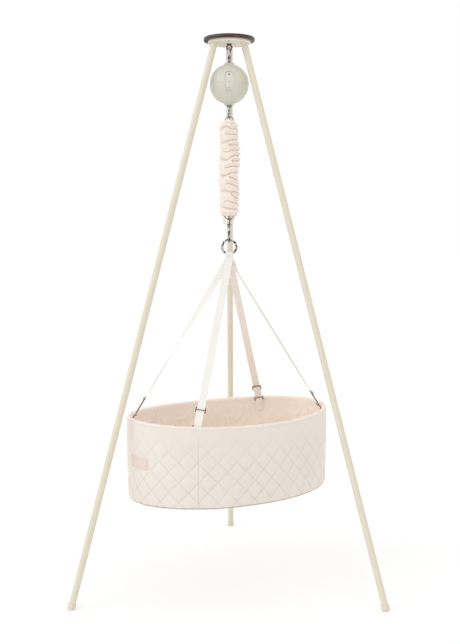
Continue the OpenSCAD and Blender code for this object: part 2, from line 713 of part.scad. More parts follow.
module pull_eye() color("#a8a9ad") at_axis(pull_eye_z) difference() {
    union() {
        eye(pull_eye_r, pull_eye_wire, lower_turn + 90);
        translate([0, 0, pull_eye_r]) cylinder(r = pull_cord_r + 1.3, h = pull_boss_z - pull_eye_r);
    }
    translate([0, 0, pull_cord_z - run_gap]) cylinder(r = pull_cord_r + run_gap, h = 6);
}

// ---- spring, cord and sleeve ----

coil_steps = coil_turns * 8;
function coil_point(i) = let (a = 360 * i / 8)
    [coil_r * cos(a), coil_r * sin(a), coil_len * (1 - i / coil_steps)];
spring_top_loop = [for (i = [8 : -1 : 1]) let (a = 180 * i / 8)
    [coil_r * cos(a), 0, coil_len + coil_r * sin(a)]];
spring_end_loop = [for (i = [1 : 8]) let (a = 180 * i / 8)
    [coil_r * cos(a), 0, -coil_r * sin(a)]];
spring_points = concat(spring_top_loop, [for (i = [0 : coil_steps]) coil_point(i)], spring_end_loop);
spring_sides = concat([for (p = spring_top_loop) p - [0, 0, coil_len]],
    [for (i = [0 : coil_steps]) [cos(45 * i), sin(45 * i), 0]], spring_end_loop);

// Least distance between points of the wire that are at least a quarter turn apart along it
function spring_gap() = min([for (i = [0 : len(spring_points) - 4])
    for (j = [i + 3 : min(i + 24, len(spring_points) - 1)])
    norm(spring_points[i] - spring_points[j])]) - spring_wire;

module spring() color("#b4b6b9") at_axis(coil_end_z)
    tube(spring_points, spring_sides, spring_wire / 2, 6);
echo(least_gap_of_the_spring_to_itself = spring_gap());

// The safety cord hangs slack inside the coil, between the hook above and the eye below.
cord_top = lower_z - lower_len / 2 - soft_gap - coil_end_z;
cord_end = swivel_eye_z + swivel_eye_r + eye_wire / 2 + soft_gap - coil_end_z;
cord_sway = 5;
cord_points = [for (i = [0 : 28]) let (s = i / 28, r = cord_sway * pow(sin(180 * s), 0.7))
    [r * sin(1080 * s), r * cos(1080 * s), cord_top + (cord_end - cord_top) * s]];
module safety_cord() color("#e8e2d6") at_axis(coil_end_z)
    tube(cord_points, [for (p = cord_points) [1, 0, 0]], safety_cord_r, 8);

// Gathers run round the sleeve, a little slanted and uneven, and it draws in at both ends.
sleeve_rows = 50;
sleeve_n = 22;
sleeve_in_r = (coil_r + spring_wire / 2 + soft_gap) / cos(180 / sleeve_n);
sleeve_cloth = 1.5;                              // least thickness of the sleeve, at its ends
sleeve_top_z = coil_top_z + coil_r - sleeve_top_gap;
sleeve_len = sleeve_top_z - coil_end_z + 2;
function gather(h, a) = let (p = h / gather_pitch + 0.30 * sin(a + 2.1 * h) + 0.16 * sin(2 * a - 1.3 * h))
    pow(abs(sin(180 * p)), 0.8);
function sleeve_at(s, a) = let (h = s * sleeve_len, e = min(1, 5.5 * sqrt(s * (1 - s)) + 0.02))
    let (full = sleeve_r + gather_h * gather(h, a) + 1.2 * sin(3 * a + 1.7 * h))
    sleeve_in_r + sleeve_cloth + (full - sleeve_in_r - sleeve_cloth) * e;
function sleeve_ring(r_of, z) = [for (j = [0 : sleeve_n - 1]) let (a = 360 * j / sleeve_n)
    [r_of[j] * cos(a), r_of[j] * sin(a), z]];

module spring_sleeve() color("#ead9cc") at_axis(sleeve_top_z) band(concat(
    [for (i = [0 : sleeve_rows]) let (s = i / sleeve_rows)
        sleeve_ring([for (j = [0 : sleeve_n - 1]) sleeve_at(s, 360 * j / sleeve_n)], -s * sleeve_len)],
    [for (z = [-sleeve_len, 0]) sleeve_ring([for (j = [0 : sleeve_n - 1]) sleeve_in_r], z)]));

// Three short tie ends under the sleeve
tie_angles = [200, 320, 85];
module sleeve_ties() color("#e6d2c5") at_axis(sleeve_top_z - sleeve_len - 0.2) for (i = [0 : 2])
    rotate([0, 0, tie_angles[i]]) ribbon([for (s = [0 : 4]) [sleeve_in_r + 0.5 + 3 * sin(45 * s), 0, -6 * s]],
        [for (s = [0 : 4]) [sin(20 * s), cos(20 * s), 0]], 9, 1.2);

// ---- swivel and ring ----

module swivel_eye() color("#8f8f92") at_axis() difference() {
    union() {
        translate([0, 0, swivel_eye_z]) eye(swivel_eye_r, eye_wire, 90);
        translate([0, 0, housing_z]) cylinder(r = swivel_r, h = swivel_h);
    }
    translate([0, 0, housing_z - 1]) cylinder(r = swivel_pin_r + run_gap, h = 5);
    translate([0, 0, housing_z + 3]) cylinder(r = swivel_pin_r + 2, h = swivel_h - 5.5);
}

module swivel_hook() color("#8f8f92") at_axis() {
    translate([0, 0, swivel_z]) rotate([0, 0, swivel_turn]) hook_frame(swivel_w, swivel_len, swivel_wire);
    translate([0, 0, swivel_top_z - 3]) cylinder(r = swivel_pin_r, h = 3 + housing_z - swivel_top_z + 5);
    translate([0, 0, housing_z + 3 + link_gap])
        cylinder(r = swivel_pin_r + 1.5, h = swivel_h - 5.5 - 2 * link_gap);
}
module swivel_gate() color("#77787c") at_axis(swivel_z) rotate([0, 0, swivel_turn])
    hook_gate(swivel_w, swivel_len, swivel_wire);

module ring() color("#9b9b9e") at_axis(ring_z) eye(ring_r, ring_wire, 0);

// ---- cradle: an oval wall, with rings of points at an inset from its outer face ----

function oval_point(inset, a) = [
    (cradle_len / 2 - inset) * sign(cos(a)) * pow(abs(cos(a)), 2 / oval_power),
    (cradle_w / 2 - inset) * sign(sin(a)) * pow(abs(sin(a)), 2 / oval_power)];
function lift(a) = rim_saddle * cos(2 * a);
function inset_at(inset, z) = inset + wall_taper * (rim_z - z) / cradle_h;
// A ring at height z, where share is how much of the rim's rise and dip it follows
function wall_ring(inset, z, share) = [for (i = [0 : oval_n - 1]) let (a = 360 * i / oval_n,
    p = oval_point(inset_at(inset, z), a)) [p[0], p[1], z + share * lift(a)]];
function oval_outline(inset, z) = [for (i = [0 : oval_n - 1])
    oval_point(inset_at(inset, z), 360 * i / oval_n)];

stiff_top_z = rim_z - 2 * roll_r - soft_gap;
edge_r = 9;                                      // rounding of the cradle's lower edge
cover_foot = edge_r + 6;                         // how far the cover turns in under the base
cover_curl = 5;                                  // rounding inside that edge

module outer_cover() color("#ebe3da") in_cradle() band(concat(
    [wall_ring(0, stiff_top_z, 1), wall_ring(-1, rim_z - cradle_h / 2, 0.5)],
    [for (k = [0 : 3]) wall_ring(edge_r * (1 - cos(30 * k)), base_z + edge_r * (1 - sin(30 * k)), 0)],
    [wall_ring(cover_foot, base_z, 0), wall_ring(cover_foot, base_z + cover_t, 0),
     wall_ring(cover_t + cover_curl, base_z + cover_t, 0), wall_ring(cover_t, base_z + edge_r, 0),
     wall_ring(cover_t - 1, rim_z - cradle_h / 2, 0.5), wall_ring(cover_t, stiff_top_z, 1)]));

module bottom_panel() color("#e4dacf") in_cradle() translate([0, 0, base_z + 0.4])
    linear_extrude(cover_t - 0.4) polygon(oval_outline(cover_foot + soft_gap, base_z));

module wall_stiffener() color("#d8cfc0") in_cradle() band([wall_ring(stiff_in, stiff_top_z, 1),
    wall_ring(stiff_in, board_z + board_t, 0), wall_ring(stiff_in + wall_t, board_z + board_t, 0),
    wall_ring(stiff_in + wall_t, stiff_top_z, 1)]);

module rim_roll() color("#efe8e0") in_cradle() band([for (k = [0 : 9]) let (a = 90 - 36 * k)
    wall_ring(roll_r - roll_r * cos(a), rim_z - roll_r + roll_r * sin(a), 1)]);

module liner() color("#e3d2c2") in_cradle() band([wall_ring(liner_in, stiff_top_z, 1),
    wall_ring(liner_in, mattress_z, 0), wall_ring(liner_in + liner_t, mattress_z, 0),
    wall_ring(liner_in + liner_t, stiff_top_z, 1)]);

module base_board() color("#c9a77c") in_cradle() translate([0, 0, board_z])
    linear_extrude(board_t - soft_gap) polygon(oval_outline(cover_t + cover_curl + soft_gap, board_z));

// The mattress is crowned and its sides draw in above and below its piping.
function mattress_ring(inset, z) = wall_ring(liner_in + liner_t + 2 + inset, z, 0);
module mattress() color("#f0e9df") in_cradle() stack([
    for (s = [[0.82, 1], [0.6, 0.93], [0.38, 0.8], [0.18, 0.58], [0.06, 0.26]])
        mattress_ring(s[0] * cradle_w / 2, mattress_z + mattress_t + mattress_crown * s[1]),
    mattress_ring(1, mattress_z + mattress_t - 3), mattress_ring(5, mattress_z + mattress_t / 2),
    mattress_ring(1, mattress_z + 3), mattress_ring(8, mattress_z)]);

module label_patch() color("#e6d3c4") in_cradle() {
    steps = 8;
    rows = [[soft_gap, 0.5], [soft_gap, -0.5], [soft_gap + 1.4, -0.5], [soft_gap + 1.4, 0.5]];
    stack([for (i = [0 : steps]) let (a = label_angle + label_spread * (2 * i / steps - 1))
        [for (r = rows) let (z = label_z + r[1] * label_h, p = oval_point(inset_at(-1, z) - r[0], a))
        [p[0], p[1], z]]]);
}

// ---- straps ----

function turned(p) = [p[0] * cos(cradle_turn) - p[1] * sin(cradle_turn),
    p[0] * sin(cradle_turn) + p[1] * cos(cradle_turn), p[2]];
// The lower bar of an anchor loop lies in a tab that is sewn to the lining.
function seat_at(i) = let (a = strap_angles[i],
    z = rim_z - anchor_drop + lift(a), p = oval_point(inset_at(seat_inset, z), a)) turned([p[0], p[1], z]);
function along_wall(i) = let (a = strap_angles[i], p = oval_point(0, a + 0.5) - oval_point(0, a - 0.5),
    t = unit(turned([p[0], p[1], 0]))) t * (t[0] < 0 ? -1 : 1);
function wall_out(i) = let (t = along_wall(i), n = [t[1], -t[0], 0], p = seat_at(i))
    n * (n * p < 0 ? -1 : 1);
function strap_top(i) = [0, strap_y[i], strap_top_z];
function strap_leave(i) = [0, strap_y[i], flap_z];   // where a strap leaves the flaps
function strap_dir(i) = unit(strap_leave(i) - seat_at(i));
function anchor_at(i) = seat_at(i) + anchor_len * strap_dir(i);
function strap_across(i) = let (w = along_wall(i), d = strap_dir(i)) unit(w - (w * d) * d);
function strap_out(i) = let (n = cross(strap_across(i), strap_dir(i))) n * (n * wall_out(i) < 0 ? -1 : 1);

// A place on a strap: u along it from its anchor bar, v outwards from it
function on_strap(i, u, v) = anchor_at(i) + u * strap_dir(i) + v * strap_out(i);

// Draws in a strap's own axes: X across it, Y outwards and Z up along it from its anchor bar
module strap_frame(i) {
    x = strap_across(i);
    y = strap_out(i);
    z = strap_dir(i);
    o = anchor_at(i);
    multmatrix([[x[0], y[0], z[0], o[0]], [x[1], y[1], z[1], o[1]], [x[2], y[2], z[2], o[2]], [0, 0, 0, 1]])
        children();
}

// A strap runs down from the ring, round its anchor bar and back up over its slider's bar.
module strap(i) {
    fold = strap_folds[i];
    leave = strap_leave(i);
    run = norm(leave - anchor_at(i));
    spread = run - fold - slider_len / 2 - bar_d;    // where the single webbing becomes two layers
    stops = [0, 15, 35, 60, 85, twist_len, run / 2, spread - 20, spread, run];
    down = [for (s = stops) leave + (anchor_at(i) - leave) * s / run
        + layer_off * min(1, max(0, (s - spread + 20) / 20)) * strap_out(i)];
    round_anchor = [for (a = [120 : 30 : 270]) on_strap(i, layer_off * cos(a), layer_off * sin(a))];
    over_slider = [for (a = [-90 : 30 : 0]) on_strap(i, fold + layer_off * cos(a), layer_off * sin(a))];
    points = concat([strap_top(i)], down, round_anchor, over_slider);
    across = [for (k = [0 : len(points) - 1])
        let (s = k == 0 ? 0 : k <= len(stops) ? min(1, stops[k - 1] / twist_len) : 1)
        (1 - s) * [1, 0, 0] + s * strap_across(i)];
    at_axis() ribbon(points, across, web_w, web_t);
}

module strap_left() color("#ecd9cb") strap(0);
module strap_front() color("#f3f1ec") strap(1);
module strap_back() color("#ecd9cb") strap(2);
module strap_right() color("#ecd9cb") strap(3);

// The webbing loop saddles the ring's wire and hangs in a flap in front and behind.
loop_half = asin(web_w / 2 / ring_r);            // half its width as an angle of the ring
loop_angles = [for (k = [-4 : 4]) -90 + loop_half * k / 4];
function reversed(v) = [for (i = [len(v) - 1 : -1 : 0]) v[i]];
function saddle_row(r, t) = let (reach = ring_r - r * sin(t))
    [for (a = loop_angles) [reach * cos(a), r * cos(t), reach * sin(a)]];
function flap_row(y) = [for (a = loop_angles) [ring_r * cos(a), y, flap_z - ring_z]];
module strap_loop() color("#f3f1ec") at_axis(ring_z) stack(concat(
    [concat(flap_row(loop_out_r), reversed(flap_row(loop_in_r)))],
    [for (t = [0 : 22.5 : 180]) concat(saddle_row(loop_out_r, t), reversed(saddle_row(loop_in_r, t)))],
    [concat(flap_row(-loop_out_r), reversed(flap_row(-loop_in_r)))]));

module wire_frame(w, l, bars) rotate([90, 0, 0]) {
    for (s = [-1, 1]) translate([s * w / 2, -l / 2, 0]) rotate([-90, 0, 0]) cylinder(d = bar_d, h = l);
    for (s = [-1, 1], t = [-1, 1]) translate([s * w / 2, t * l / 2, 0]) sphere(d = bar_d);
    for (b = bars) translate([-w / 2, b, 0]) rotate([0, 90, 0]) cylinder(d = bar_d, h = w);
}

module strap_sliders() color("#8a5a44") at_axis() for (i = [0 : 3]) strap_frame(i)
    translate([0, 0, strap_folds[i]])
    wire_frame(anchor_bar_w, slider_len, [-slider_len / 2, 0, slider_len / 2]);

module anchor_loops() color("#8a5a44") at_axis() for (i = [0 : 3]) strap_frame(i)
    translate([0, 0, -anchor_len / 2])
    wire_frame(anchor_bar_w, anchor_len, [-anchor_len / 2, anchor_len / 2]);

// A tab rises from the lining, turns over the anchor loop's lower bar and is sewn back to itself.
module anchor_tabs() color("#e3d2c2") at_axis() for (i = [0 : 3]) {
    lean = wall_taper / cradle_h;
    back = tab_fold - web_t - 0.4;
    path = concat([[tab_fold - lean * tab_len, -tab_len], [tab_fold - lean * tab_close, -tab_close],
        [tab_fold, -4]], [for (a = [0 : 30 : 180]) tab_fold * [cos(a), sin(a)]],
        [[-tab_fold, -4], [back - lean * tab_close, -tab_close],
        [back - lean * 0.5 * tab_len, -0.5 * tab_len]]);
    ribbon([for (q = path) seat_at(i) + q[0] * wall_out(i) + [0, 0, q[1]]],
        [for (q = path) q[1] < -5 ? along_wall(i) : strap_across(i)], web_w, web_t);
}

head_disc();
head_plate();
eye_bolt();
eye_nut();
disc_screws();
leg_bolts();
leg_plugs();
leg_left();
leg_right();
leg_rear();
foot_left();
foot_right();
foot_rear();
upper_hook();
upper_gate();
shell_upper();
shell_lower();
control_panel();
power_button();
speed_button();
status_lens();
hanging_bail();
motor_chassis();
gearbox();
motor_can();
winding_drum();
circuit_board();
button_switches();
power_inlet();
shell_screws();
pull_cord();
pull_eye();
lower_hook();
lower_gate();
spring();
safety_cord();
spring_sleeve();
sleeve_ties();
swivel_eye();
swivel_hook();
swivel_gate();
ring();
strap_loop();
strap_left();
strap_front();
strap_back();
strap_right();
strap_sliders();
anchor_loops();
anchor_tabs();
outer_cover();
bottom_panel();
wall_stiffener();
rim_roll();
liner();
base_board();
mattress();
label_patch();
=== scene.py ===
import json
import math
import bmesh
import bpy
import numpy as np
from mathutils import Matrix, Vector

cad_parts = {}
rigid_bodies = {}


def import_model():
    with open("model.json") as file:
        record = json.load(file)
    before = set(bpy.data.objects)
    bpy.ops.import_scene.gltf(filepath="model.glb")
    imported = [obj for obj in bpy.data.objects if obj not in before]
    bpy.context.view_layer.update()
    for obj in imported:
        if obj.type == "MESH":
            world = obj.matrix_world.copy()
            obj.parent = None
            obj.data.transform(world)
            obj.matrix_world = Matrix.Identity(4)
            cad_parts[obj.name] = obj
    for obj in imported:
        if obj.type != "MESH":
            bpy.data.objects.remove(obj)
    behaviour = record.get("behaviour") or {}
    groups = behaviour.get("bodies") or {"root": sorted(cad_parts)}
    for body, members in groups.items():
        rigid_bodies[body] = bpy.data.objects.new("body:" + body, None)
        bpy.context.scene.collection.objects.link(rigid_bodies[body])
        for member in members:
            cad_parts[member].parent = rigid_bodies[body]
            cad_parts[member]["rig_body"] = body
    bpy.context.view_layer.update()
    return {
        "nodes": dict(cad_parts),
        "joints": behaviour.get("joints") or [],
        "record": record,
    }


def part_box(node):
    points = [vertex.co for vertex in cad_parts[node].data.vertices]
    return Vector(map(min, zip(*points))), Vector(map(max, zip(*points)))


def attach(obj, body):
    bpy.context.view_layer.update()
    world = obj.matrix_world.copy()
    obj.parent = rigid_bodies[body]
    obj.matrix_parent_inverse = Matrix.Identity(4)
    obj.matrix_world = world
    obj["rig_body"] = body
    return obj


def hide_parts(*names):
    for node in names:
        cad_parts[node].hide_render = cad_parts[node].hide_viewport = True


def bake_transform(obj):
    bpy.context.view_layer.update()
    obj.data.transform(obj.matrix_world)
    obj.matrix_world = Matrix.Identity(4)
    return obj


# A baby's cradle that hangs from a tripod stand: head, motor ball, spring in a gathered sleeve, ring and
# straps. Lengths are metres, and places come from the frame. The rear leg points to +Y.
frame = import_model()
nodes = frame["nodes"]
joint = {j["name"]: j for j in frame["joints"]}
axisY = joint["upper_hook_swing"]["pos_m"][1]        # the stand's upright axis is x = 0, y = axisY
mm = 0.001
tau = 2 * math.pi
print("frame loaded:", len(nodes), "nodes")


camera = dict(place=(0.035, -3.2755, 1.2332),        # from the stand's axis on the floor
              turn=-0.0099, tilt=-0.1011, focal=961.6, frameHeight=644, sensor=36.0)


def setCamera():
    data = bpy.data.cameras.new("camera")
    data.sensor_width = camera["sensor"]
    data.lens = camera["focal"] / camera["frameHeight"] * camera["sensor"]
    eye = bpy.data.objects.new("camera", data)
    bpy.context.scene.collection.objects.link(eye)
    turn, tilt = camera["turn"], camera["tilt"]
    ahead = Vector((math.sin(turn) * math.cos(tilt), math.cos(turn) * math.cos(tilt), math.sin(tilt)))
    eye.location = Vector(camera["place"]) + Vector((0, axisY, 0))
    eye.rotation_euler = ahead.to_track_quat("-Z", "Y").to_euler()
    bpy.context.scene.camera = eye


setCamera()


def makeMesh(name, points, quads, triangles=None, quadUv=None, triangleUv=None):
    # points (n, 3), quads (m, 4) and triangles (k, 3) go in as whole arrays, turned so that faces point
    # outwards; the points are measured from the stand's axis, which axisY puts in its place
    triangles = np.zeros((0, 3), int) if triangles is None else triangles
    corners = np.concatenate([quads[:, [0, 1, 2]], quads[:, [0, 2, 3]], triangles])
    a, b, c = points[corners[:, 0]], points[corners[:, 1]], points[corners[:, 2]]
    inside = (a * np.cross(b, c)).sum() < 0
    if inside:
        quads, triangles = quads[:, ::-1], triangles[:, ::-1]
        quadUv = None if quadUv is None else quadUv[:, ::-1]
        triangleUv = None if triangleUv is None else triangleUv[:, ::-1]
    mesh = bpy.data.meshes.new(name)
    mesh.vertices.add(len(points))
    placed = points + np.array([0, axisY, 0])
    mesh.vertices.foreach_set("co", np.ascontiguousarray(placed, np.float32).ravel())
    loops = np.concatenate([quads.ravel(), triangles.ravel()])
    starts = np.concatenate([np.arange(len(quads)) * 4, len(quads) * 4 + np.arange(len(triangles)) * 3])
    mesh.loops.add(len(loops))
    mesh.loops.foreach_set("vertex_index", loops.astype(np.int32))
    mesh.polygons.add(len(starts))
    mesh.polygons.foreach_set("loop_start", starts.astype(np.int32))
    mesh.update(calc_edges=True)
    mesh.validate()
    if quadUv is not None:
        flat = [quadUv.reshape(-1, 2)]
        if triangleUv is not None:
            flat.append(triangleUv.reshape(-1, 2))
        layer = mesh.uv_layers.new(name="metres")
        layer.data.foreach_set("uv", np.concatenate(flat).astype(np.float32).ravel())
    mesh.shade_smooth()
    return mesh


def place(name, mesh, body, material, replaces=(), sharp=None):
    piece = bpy.data.objects.new(name, mesh)
    bpy.context.scene.collection.objects.link(piece)
    mesh.materials.clear()
    mesh.materials.append(material)
    if sharp is not None:
        mesh.set_sharp_from_angle(angle=math.radians(sharp))
    if body:
        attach(piece, body)
    if replaces:
        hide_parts(*replaces)
    return piece


def gridMesh(name, grid, wrapAcross=True, wrapAlong=False, across=None, along=None, slide=None):
    # grid is (rows, columns, 3): quads join neighbours, wrapAcross closes each row into a loop, wrapAlong
    # joins the last row to the first, and a fan closes the first and last row where they are loops. UVs run
    # in metres along the surface, and slide moves each row's UVs sideways.
    rows, columns = grid.shape[:2]
    i = np.arange(rows if wrapAlong else rows - 1)[:, None]
    j = np.arange(columns if wrapAcross else columns - 1)[None, :]
    i2, j2 = (i + 1) % rows, (j + 1) % columns
    corners = [i * columns + j, i * columns + j2, i2 * columns + j2, i2 * columns + j]
    quads = np.stack(corners, -1).reshape(-1, 4)
    if across is None:
        ring = np.concatenate([grid, grid[:, :1]], 1)
        across = np.concatenate([[0], np.cumsum(np.linalg.norm(np.diff(ring, axis=1), axis=2).mean(0))])
    if along is None:
        length = np.concatenate([grid, grid[:1]], 0)
        along = np.concatenate([[0], np.cumsum(np.linalg.norm(np.diff(length, axis=0), axis=2).mean(1))])
    slid = 0 * i if slide is None else slide[i]
    u0, u1 = across[j] + slid, across[j + 1] + slid
    v0, v1 = along[i] + 0 * j, along[i + 1] + 0 * j
    uv = np.stack([np.stack([u0, v0], -1), np.stack([u1, v0], -1), np.stack([u1, v1], -1),
                   np.stack([u0, v1], -1)], 2).reshape(-1, 4, 2)
    points, triangles, fanUv = grid.reshape(-1, 3), None, None
    if wrapAcross and not wrapAlong:
        middles = np.stack([grid[0].mean(0), grid[-1].mean(0)])
        k = np.arange(columns)
        first = np.stack([np.full(columns, rows * columns), (k + 1) % columns, k], -1)
        last = np.stack([np.full(columns, rows * columns + 1), (rows - 1) * columns + k,
                         (rows - 1) * columns + (k + 1) % columns], -1)
        points = np.concatenate([points, middles])
        triangles = np.concatenate([first, last])
        fanUv = np.zeros((2 * columns, 3, 2))
        fanUv[:, :, 0] = across[:-1].mean()
        fanUv[:columns, :, 1], fanUv[columns:, :, 1] = along[0], along[rows - 1]
    return makeMesh(name, points, quads, triangles, uv, fanUv)


def placeGrid(name, grid, body, slot, material, replaces=(), sharp=None, **ways):
    return place(name, gridMesh(name, grid, **ways), body, material, replaces, sharp)


def runAlong(path):
    # the distance of each point of a path from its start
    return np.concatenate([[0], np.cumsum(np.linalg.norm(np.diff(path, axis=0), axis=1))])


def unit(v):
    # vectors divided by their own lengths
    return v / np.maximum(np.linalg.norm(v, axis=-1, keepdims=True), 1e-12)


def carry(profile, path, side):
    # a profile of (x, y) points carried along a path: x lies along the side vector and y square to it and the
    # path
    ahead = unit(np.gradient(path, axis=0))
    side = unit(side - (side * ahead).sum(-1, keepdims=True) * ahead)
    up = np.cross(ahead, side)
    return path[:, None] + profile[None, :, :1] * side[:, None] + profile[None, :, 1:] * up[:, None]


def circle(radius, sides):
    # points at even angles, by their cosine and sine
    angle = np.arange(sides) * tau / sides
    return radius * np.stack([np.cos(angle), np.sin(angle)], -1)


def tapeProfile(width, thickness, points=12):
    # a flat tape's outline: a box with round edges and a slightly thicker selvedge
    x = np.cos(np.linspace(0, math.pi, points))
    x = np.sign(x) * np.abs(x) ** 0.6 * width / 2
    edge = np.sqrt(np.clip(1 - (np.abs(x) / (width / 2)) ** 12, 0, 1))
    y = thickness / 2 * edge * (0.9 + 0.1 * (np.abs(x) / (width / 2)) ** 4)
    return np.concatenate([np.stack([x, y], -1), np.stack([x, -y], -1)[::-1][1:-1]])


def waves(u, v, seed, count=24, across=(1, 9), along=(1, 9)):
    # smooth noise from -1 to 1: a sum of sines, whole numbers of them round u (radians), at random slants
    # along v
    dice = np.random.default_rng(seed)
    total = np.zeros(np.broadcast(u, v).shape)
    for _ in range(count):
        turns, lengths = dice.integers(across[0], across[1] + 1), dice.uniform(*along) * dice.choice([-1, 1])
        total += dice.uniform(0.5, 1) * np.sin(turns * u + lengths * v + dice.uniform(0, tau))
    return total / math.sqrt(count) / 0.75


def smoothStep(x):
    # 0 below 0, 1 above 1, and 3 x squared less 2 x cubed between
    x = np.clip(x, 0, 1)
    return x * x * (3 - 2 * x)


def stitchMesh(name, path, out, length=3.2 * mm, gap=1.2 * mm, thread=0.32 * mm, closed=False):
    # a row of thread stitches: short bowed capsules laid end to end along a path, standing a thread off the
    # cloth
    if closed:
        path, out = np.concatenate([path, path[:1]]), np.concatenate([out, out[:1]])
    run = runAlong(path)
    count = max(1, int(run[-1] // (length + gap)))
    step = run[-1] / count
    t = np.linspace(0, 1, 6)
    at = (np.arange(count)[:, None] * step + t * min(length, step * 0.75)).ravel()
    line = np.stack([np.interp(at, run, path[:, k]) for k in range(3)], -1).reshape(count, 6, 3)
    away = unit(np.stack([np.interp(at, run, out[:, k]) for k in range(3)], -1)).reshape(count, 6, 3)
    ahead = unit(line[:, -1:] - line[:, :1])
    side = unit(np.cross(ahead, away))
    bow = np.sin(math.pi * t)[None, :, None]
    line = line + away * thread * (1.6 * bow - 0.5)
    width = thread * (0.35 + 0.65 * np.sqrt(bow))[..., None]
    angle = np.arange(6) * tau / 6
    rings = line[:, :, None] + width * (np.cos(angle)[:, None] * side[:, :, None]
                                        + np.sin(angle)[:, None] * away[:, :, None])
    base = (np.arange(count) * 36)[:, None, None]
    i, j = np.arange(5)[None, :, None], np.arange(6)[None, None, :]
    quads = np.stack([base + i * 6 + j, base + i * 6 + (j + 1) % 6, base + (i + 1) * 6 + (j + 1) % 6,
                      base + (i + 1) * 6 + j], -1).reshape(-1, 4)
    ends = np.array([[0, 1, 2, 3], [0, 3, 4, 5], [33, 32, 31, 30], [35, 34, 33, 30]])[:, ::-1]
    quads = np.concatenate([quads, (base + ends[None]).reshape(-1, 4)])
    return makeMesh(name, rings.reshape(-1, 3), quads)


def dress(node, material, bevel=0.0, sharp=32):
    # a merged, smoothly shaded copy of a CAD node with its sharp edges rounded, which stands for it
    source = nodes[node]
    work = bmesh.new()
    work.from_mesh(source.data)
    bmesh.ops.remove_doubles(work, verts=work.verts, dist=2e-6)
    if bevel:
        bmesh.ops.dissolve_limit(work, angle_limit=math.radians(1), verts=work.verts, edges=work.edges)
    mesh = bpy.data.meshes.new(node + "_finish")
    work.to_mesh(mesh)
    work.free()
    mesh.shade_smooth()
    piece = place(mesh.name, mesh, source["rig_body"], material, [node], sharp)
    if bevel:
        rounding = piece.modifiers.new("rounding", "BEVEL")
        rounding.width, rounding.segments = bevel, 2
        rounding.limit_method, rounding.angle_limit = "ANGLE", math.radians(sharp)
        rounding.harden_normals = True
    return piece


slotOf = {s["node"]: s["material_slot"] for s in frame["record"]["subparts"]}


def paint(code):
    # an sRGB hex colour as linear RGBA
    value = np.array([int(code[k:k + 2], 16) for k in (1, 3, 5)]) / 255
    linear = np.where(value <= 0.04045, value / 12.92, ((value + 0.055) / 1.055) ** 2.4)
    return (*linear.tolist(), 1.0)


def add(tree, kind, feed=None, **settings):
    # one shader node, with its settings, and its inputs fed by a value or by another node's output
    made = tree.nodes.new("ShaderNode" + kind)
    for key, value in settings.items():
        setattr(made, key, value)
    for key, value in (feed or {}).items():
        if isinstance(value, bpy.types.NodeSocket):
            tree.links.new(value, made.inputs[key])
        else:
            made.inputs[key].default_value = value
    return made


def startMaterial(name, roughness, metallic=0.0, ior=1.5, **sockets):
    material = bpy.data.materials.new(name)
    material.use_nodes = True
    tree = material.node_tree
    shader = tree.nodes["Principled BSDF"]
    shader.inputs["Roughness"].default_value = roughness
    shader.inputs["Metallic"].default_value = metallic
    shader.inputs["IOR"].default_value = ior
    for key, value in sockets.items():
        shader.inputs[key.replace("_", " ")].default_value = value
    return material, tree, shader


def ramp(tree, fac, stops):
    # a colour ramp from (place, hex) stops
    made = add(tree, "ValToRGB", {"Fac": fac})
    while len(made.color_ramp.elements) < len(stops):
        made.color_ramp.elements.new(0.5)
    for element, (spot, code) in zip(made.color_ramp.elements, stops):
        element.position, element.color = spot, paint(code)
    return made.outputs["Color"]


def objectCoords(tree, stretch=(1, 1, 1)):
    coords = add(tree, "TexCoord").outputs["Object"]
    return add(tree, "Mapping", {"Vector": coords, "Scale": stretch}).outputs["Vector"]


def uvCoords(tree, turn=0.0):
    coords = add(tree, "UVMap", uv_map="metres").outputs["UV"]
    return add(tree, "Mapping", {"Vector": coords, "Rotation": (0, 0, turn)}).outputs["Vector"]


def perMm(size):
    # a texture scale that repeats about every size millimetres
    return 1000.0 / size


def noise(tree, coords, size, detail, **more):
    # a noise with lumps of about size millimetres
    return add(tree, "TexNoise", {"Vector": coords, "Scale": perMm(size), "Detail": detail, **more}).outputs


def wave(tree, coords, scale, way, **more):
    # a wave texture's bands across the X, Y or Z direction
    made = add(tree, "TexWave", {"Vector": coords, "Scale": scale, **more}, bands_direction=way)
    return made.outputs["Fac"]


def calc(tree, operation, *values):
    return add(tree, "Math", dict(enumerate(values)), operation=operation).outputs[0]


def mixColours(tree, share, one, two, way="MIX"):
    return add(tree, "Mix", {0: share, 6: one, 7: two}, data_type="RGBA", blend_type=way).outputs[2]


def mapRange(tree, value, fromMin, fromMax, toMin, toMax):
    return add(tree, "MapRange", {"Value": value, "From Min": fromMin, "From Max": fromMax, "To Min": toMin,
                                  "To Max": toMax}).outputs["Result"]


def bump(tree, shader, height, distance):
    # a bump on top of those that the shader has
    made = add(tree, "Bump", {"Height": height, "Distance": distance, "Strength": 1.0})
    last = shader.inputs["Normal"]
    if last.is_linked:
        tree.links.new(last.links[0].from_socket, made.inputs["Normal"])
    tree.links.new(made.outputs["Normal"], last)


def setColour(tree, shader, socket):
    tree.links.new(socket, shader.inputs["Base Color"])


def cloudyColour(tree, shader, code, size, deep, pale):
    # one colour that drifts every size millimetres between two tones, each a (value, saturation)
    cloud = noise(tree, objectCoords(tree), size, 2.0)["Fac"]
    tones = []
    for value, saturation in (deep, pale):
        feed = {"Color": paint(code), "Value": value, "Saturation": saturation}
        tones.append(add(tree, "HueSaturation", feed).outputs[0])
    setColour(tree, shader, mixColours(tree, cloud, *tones))


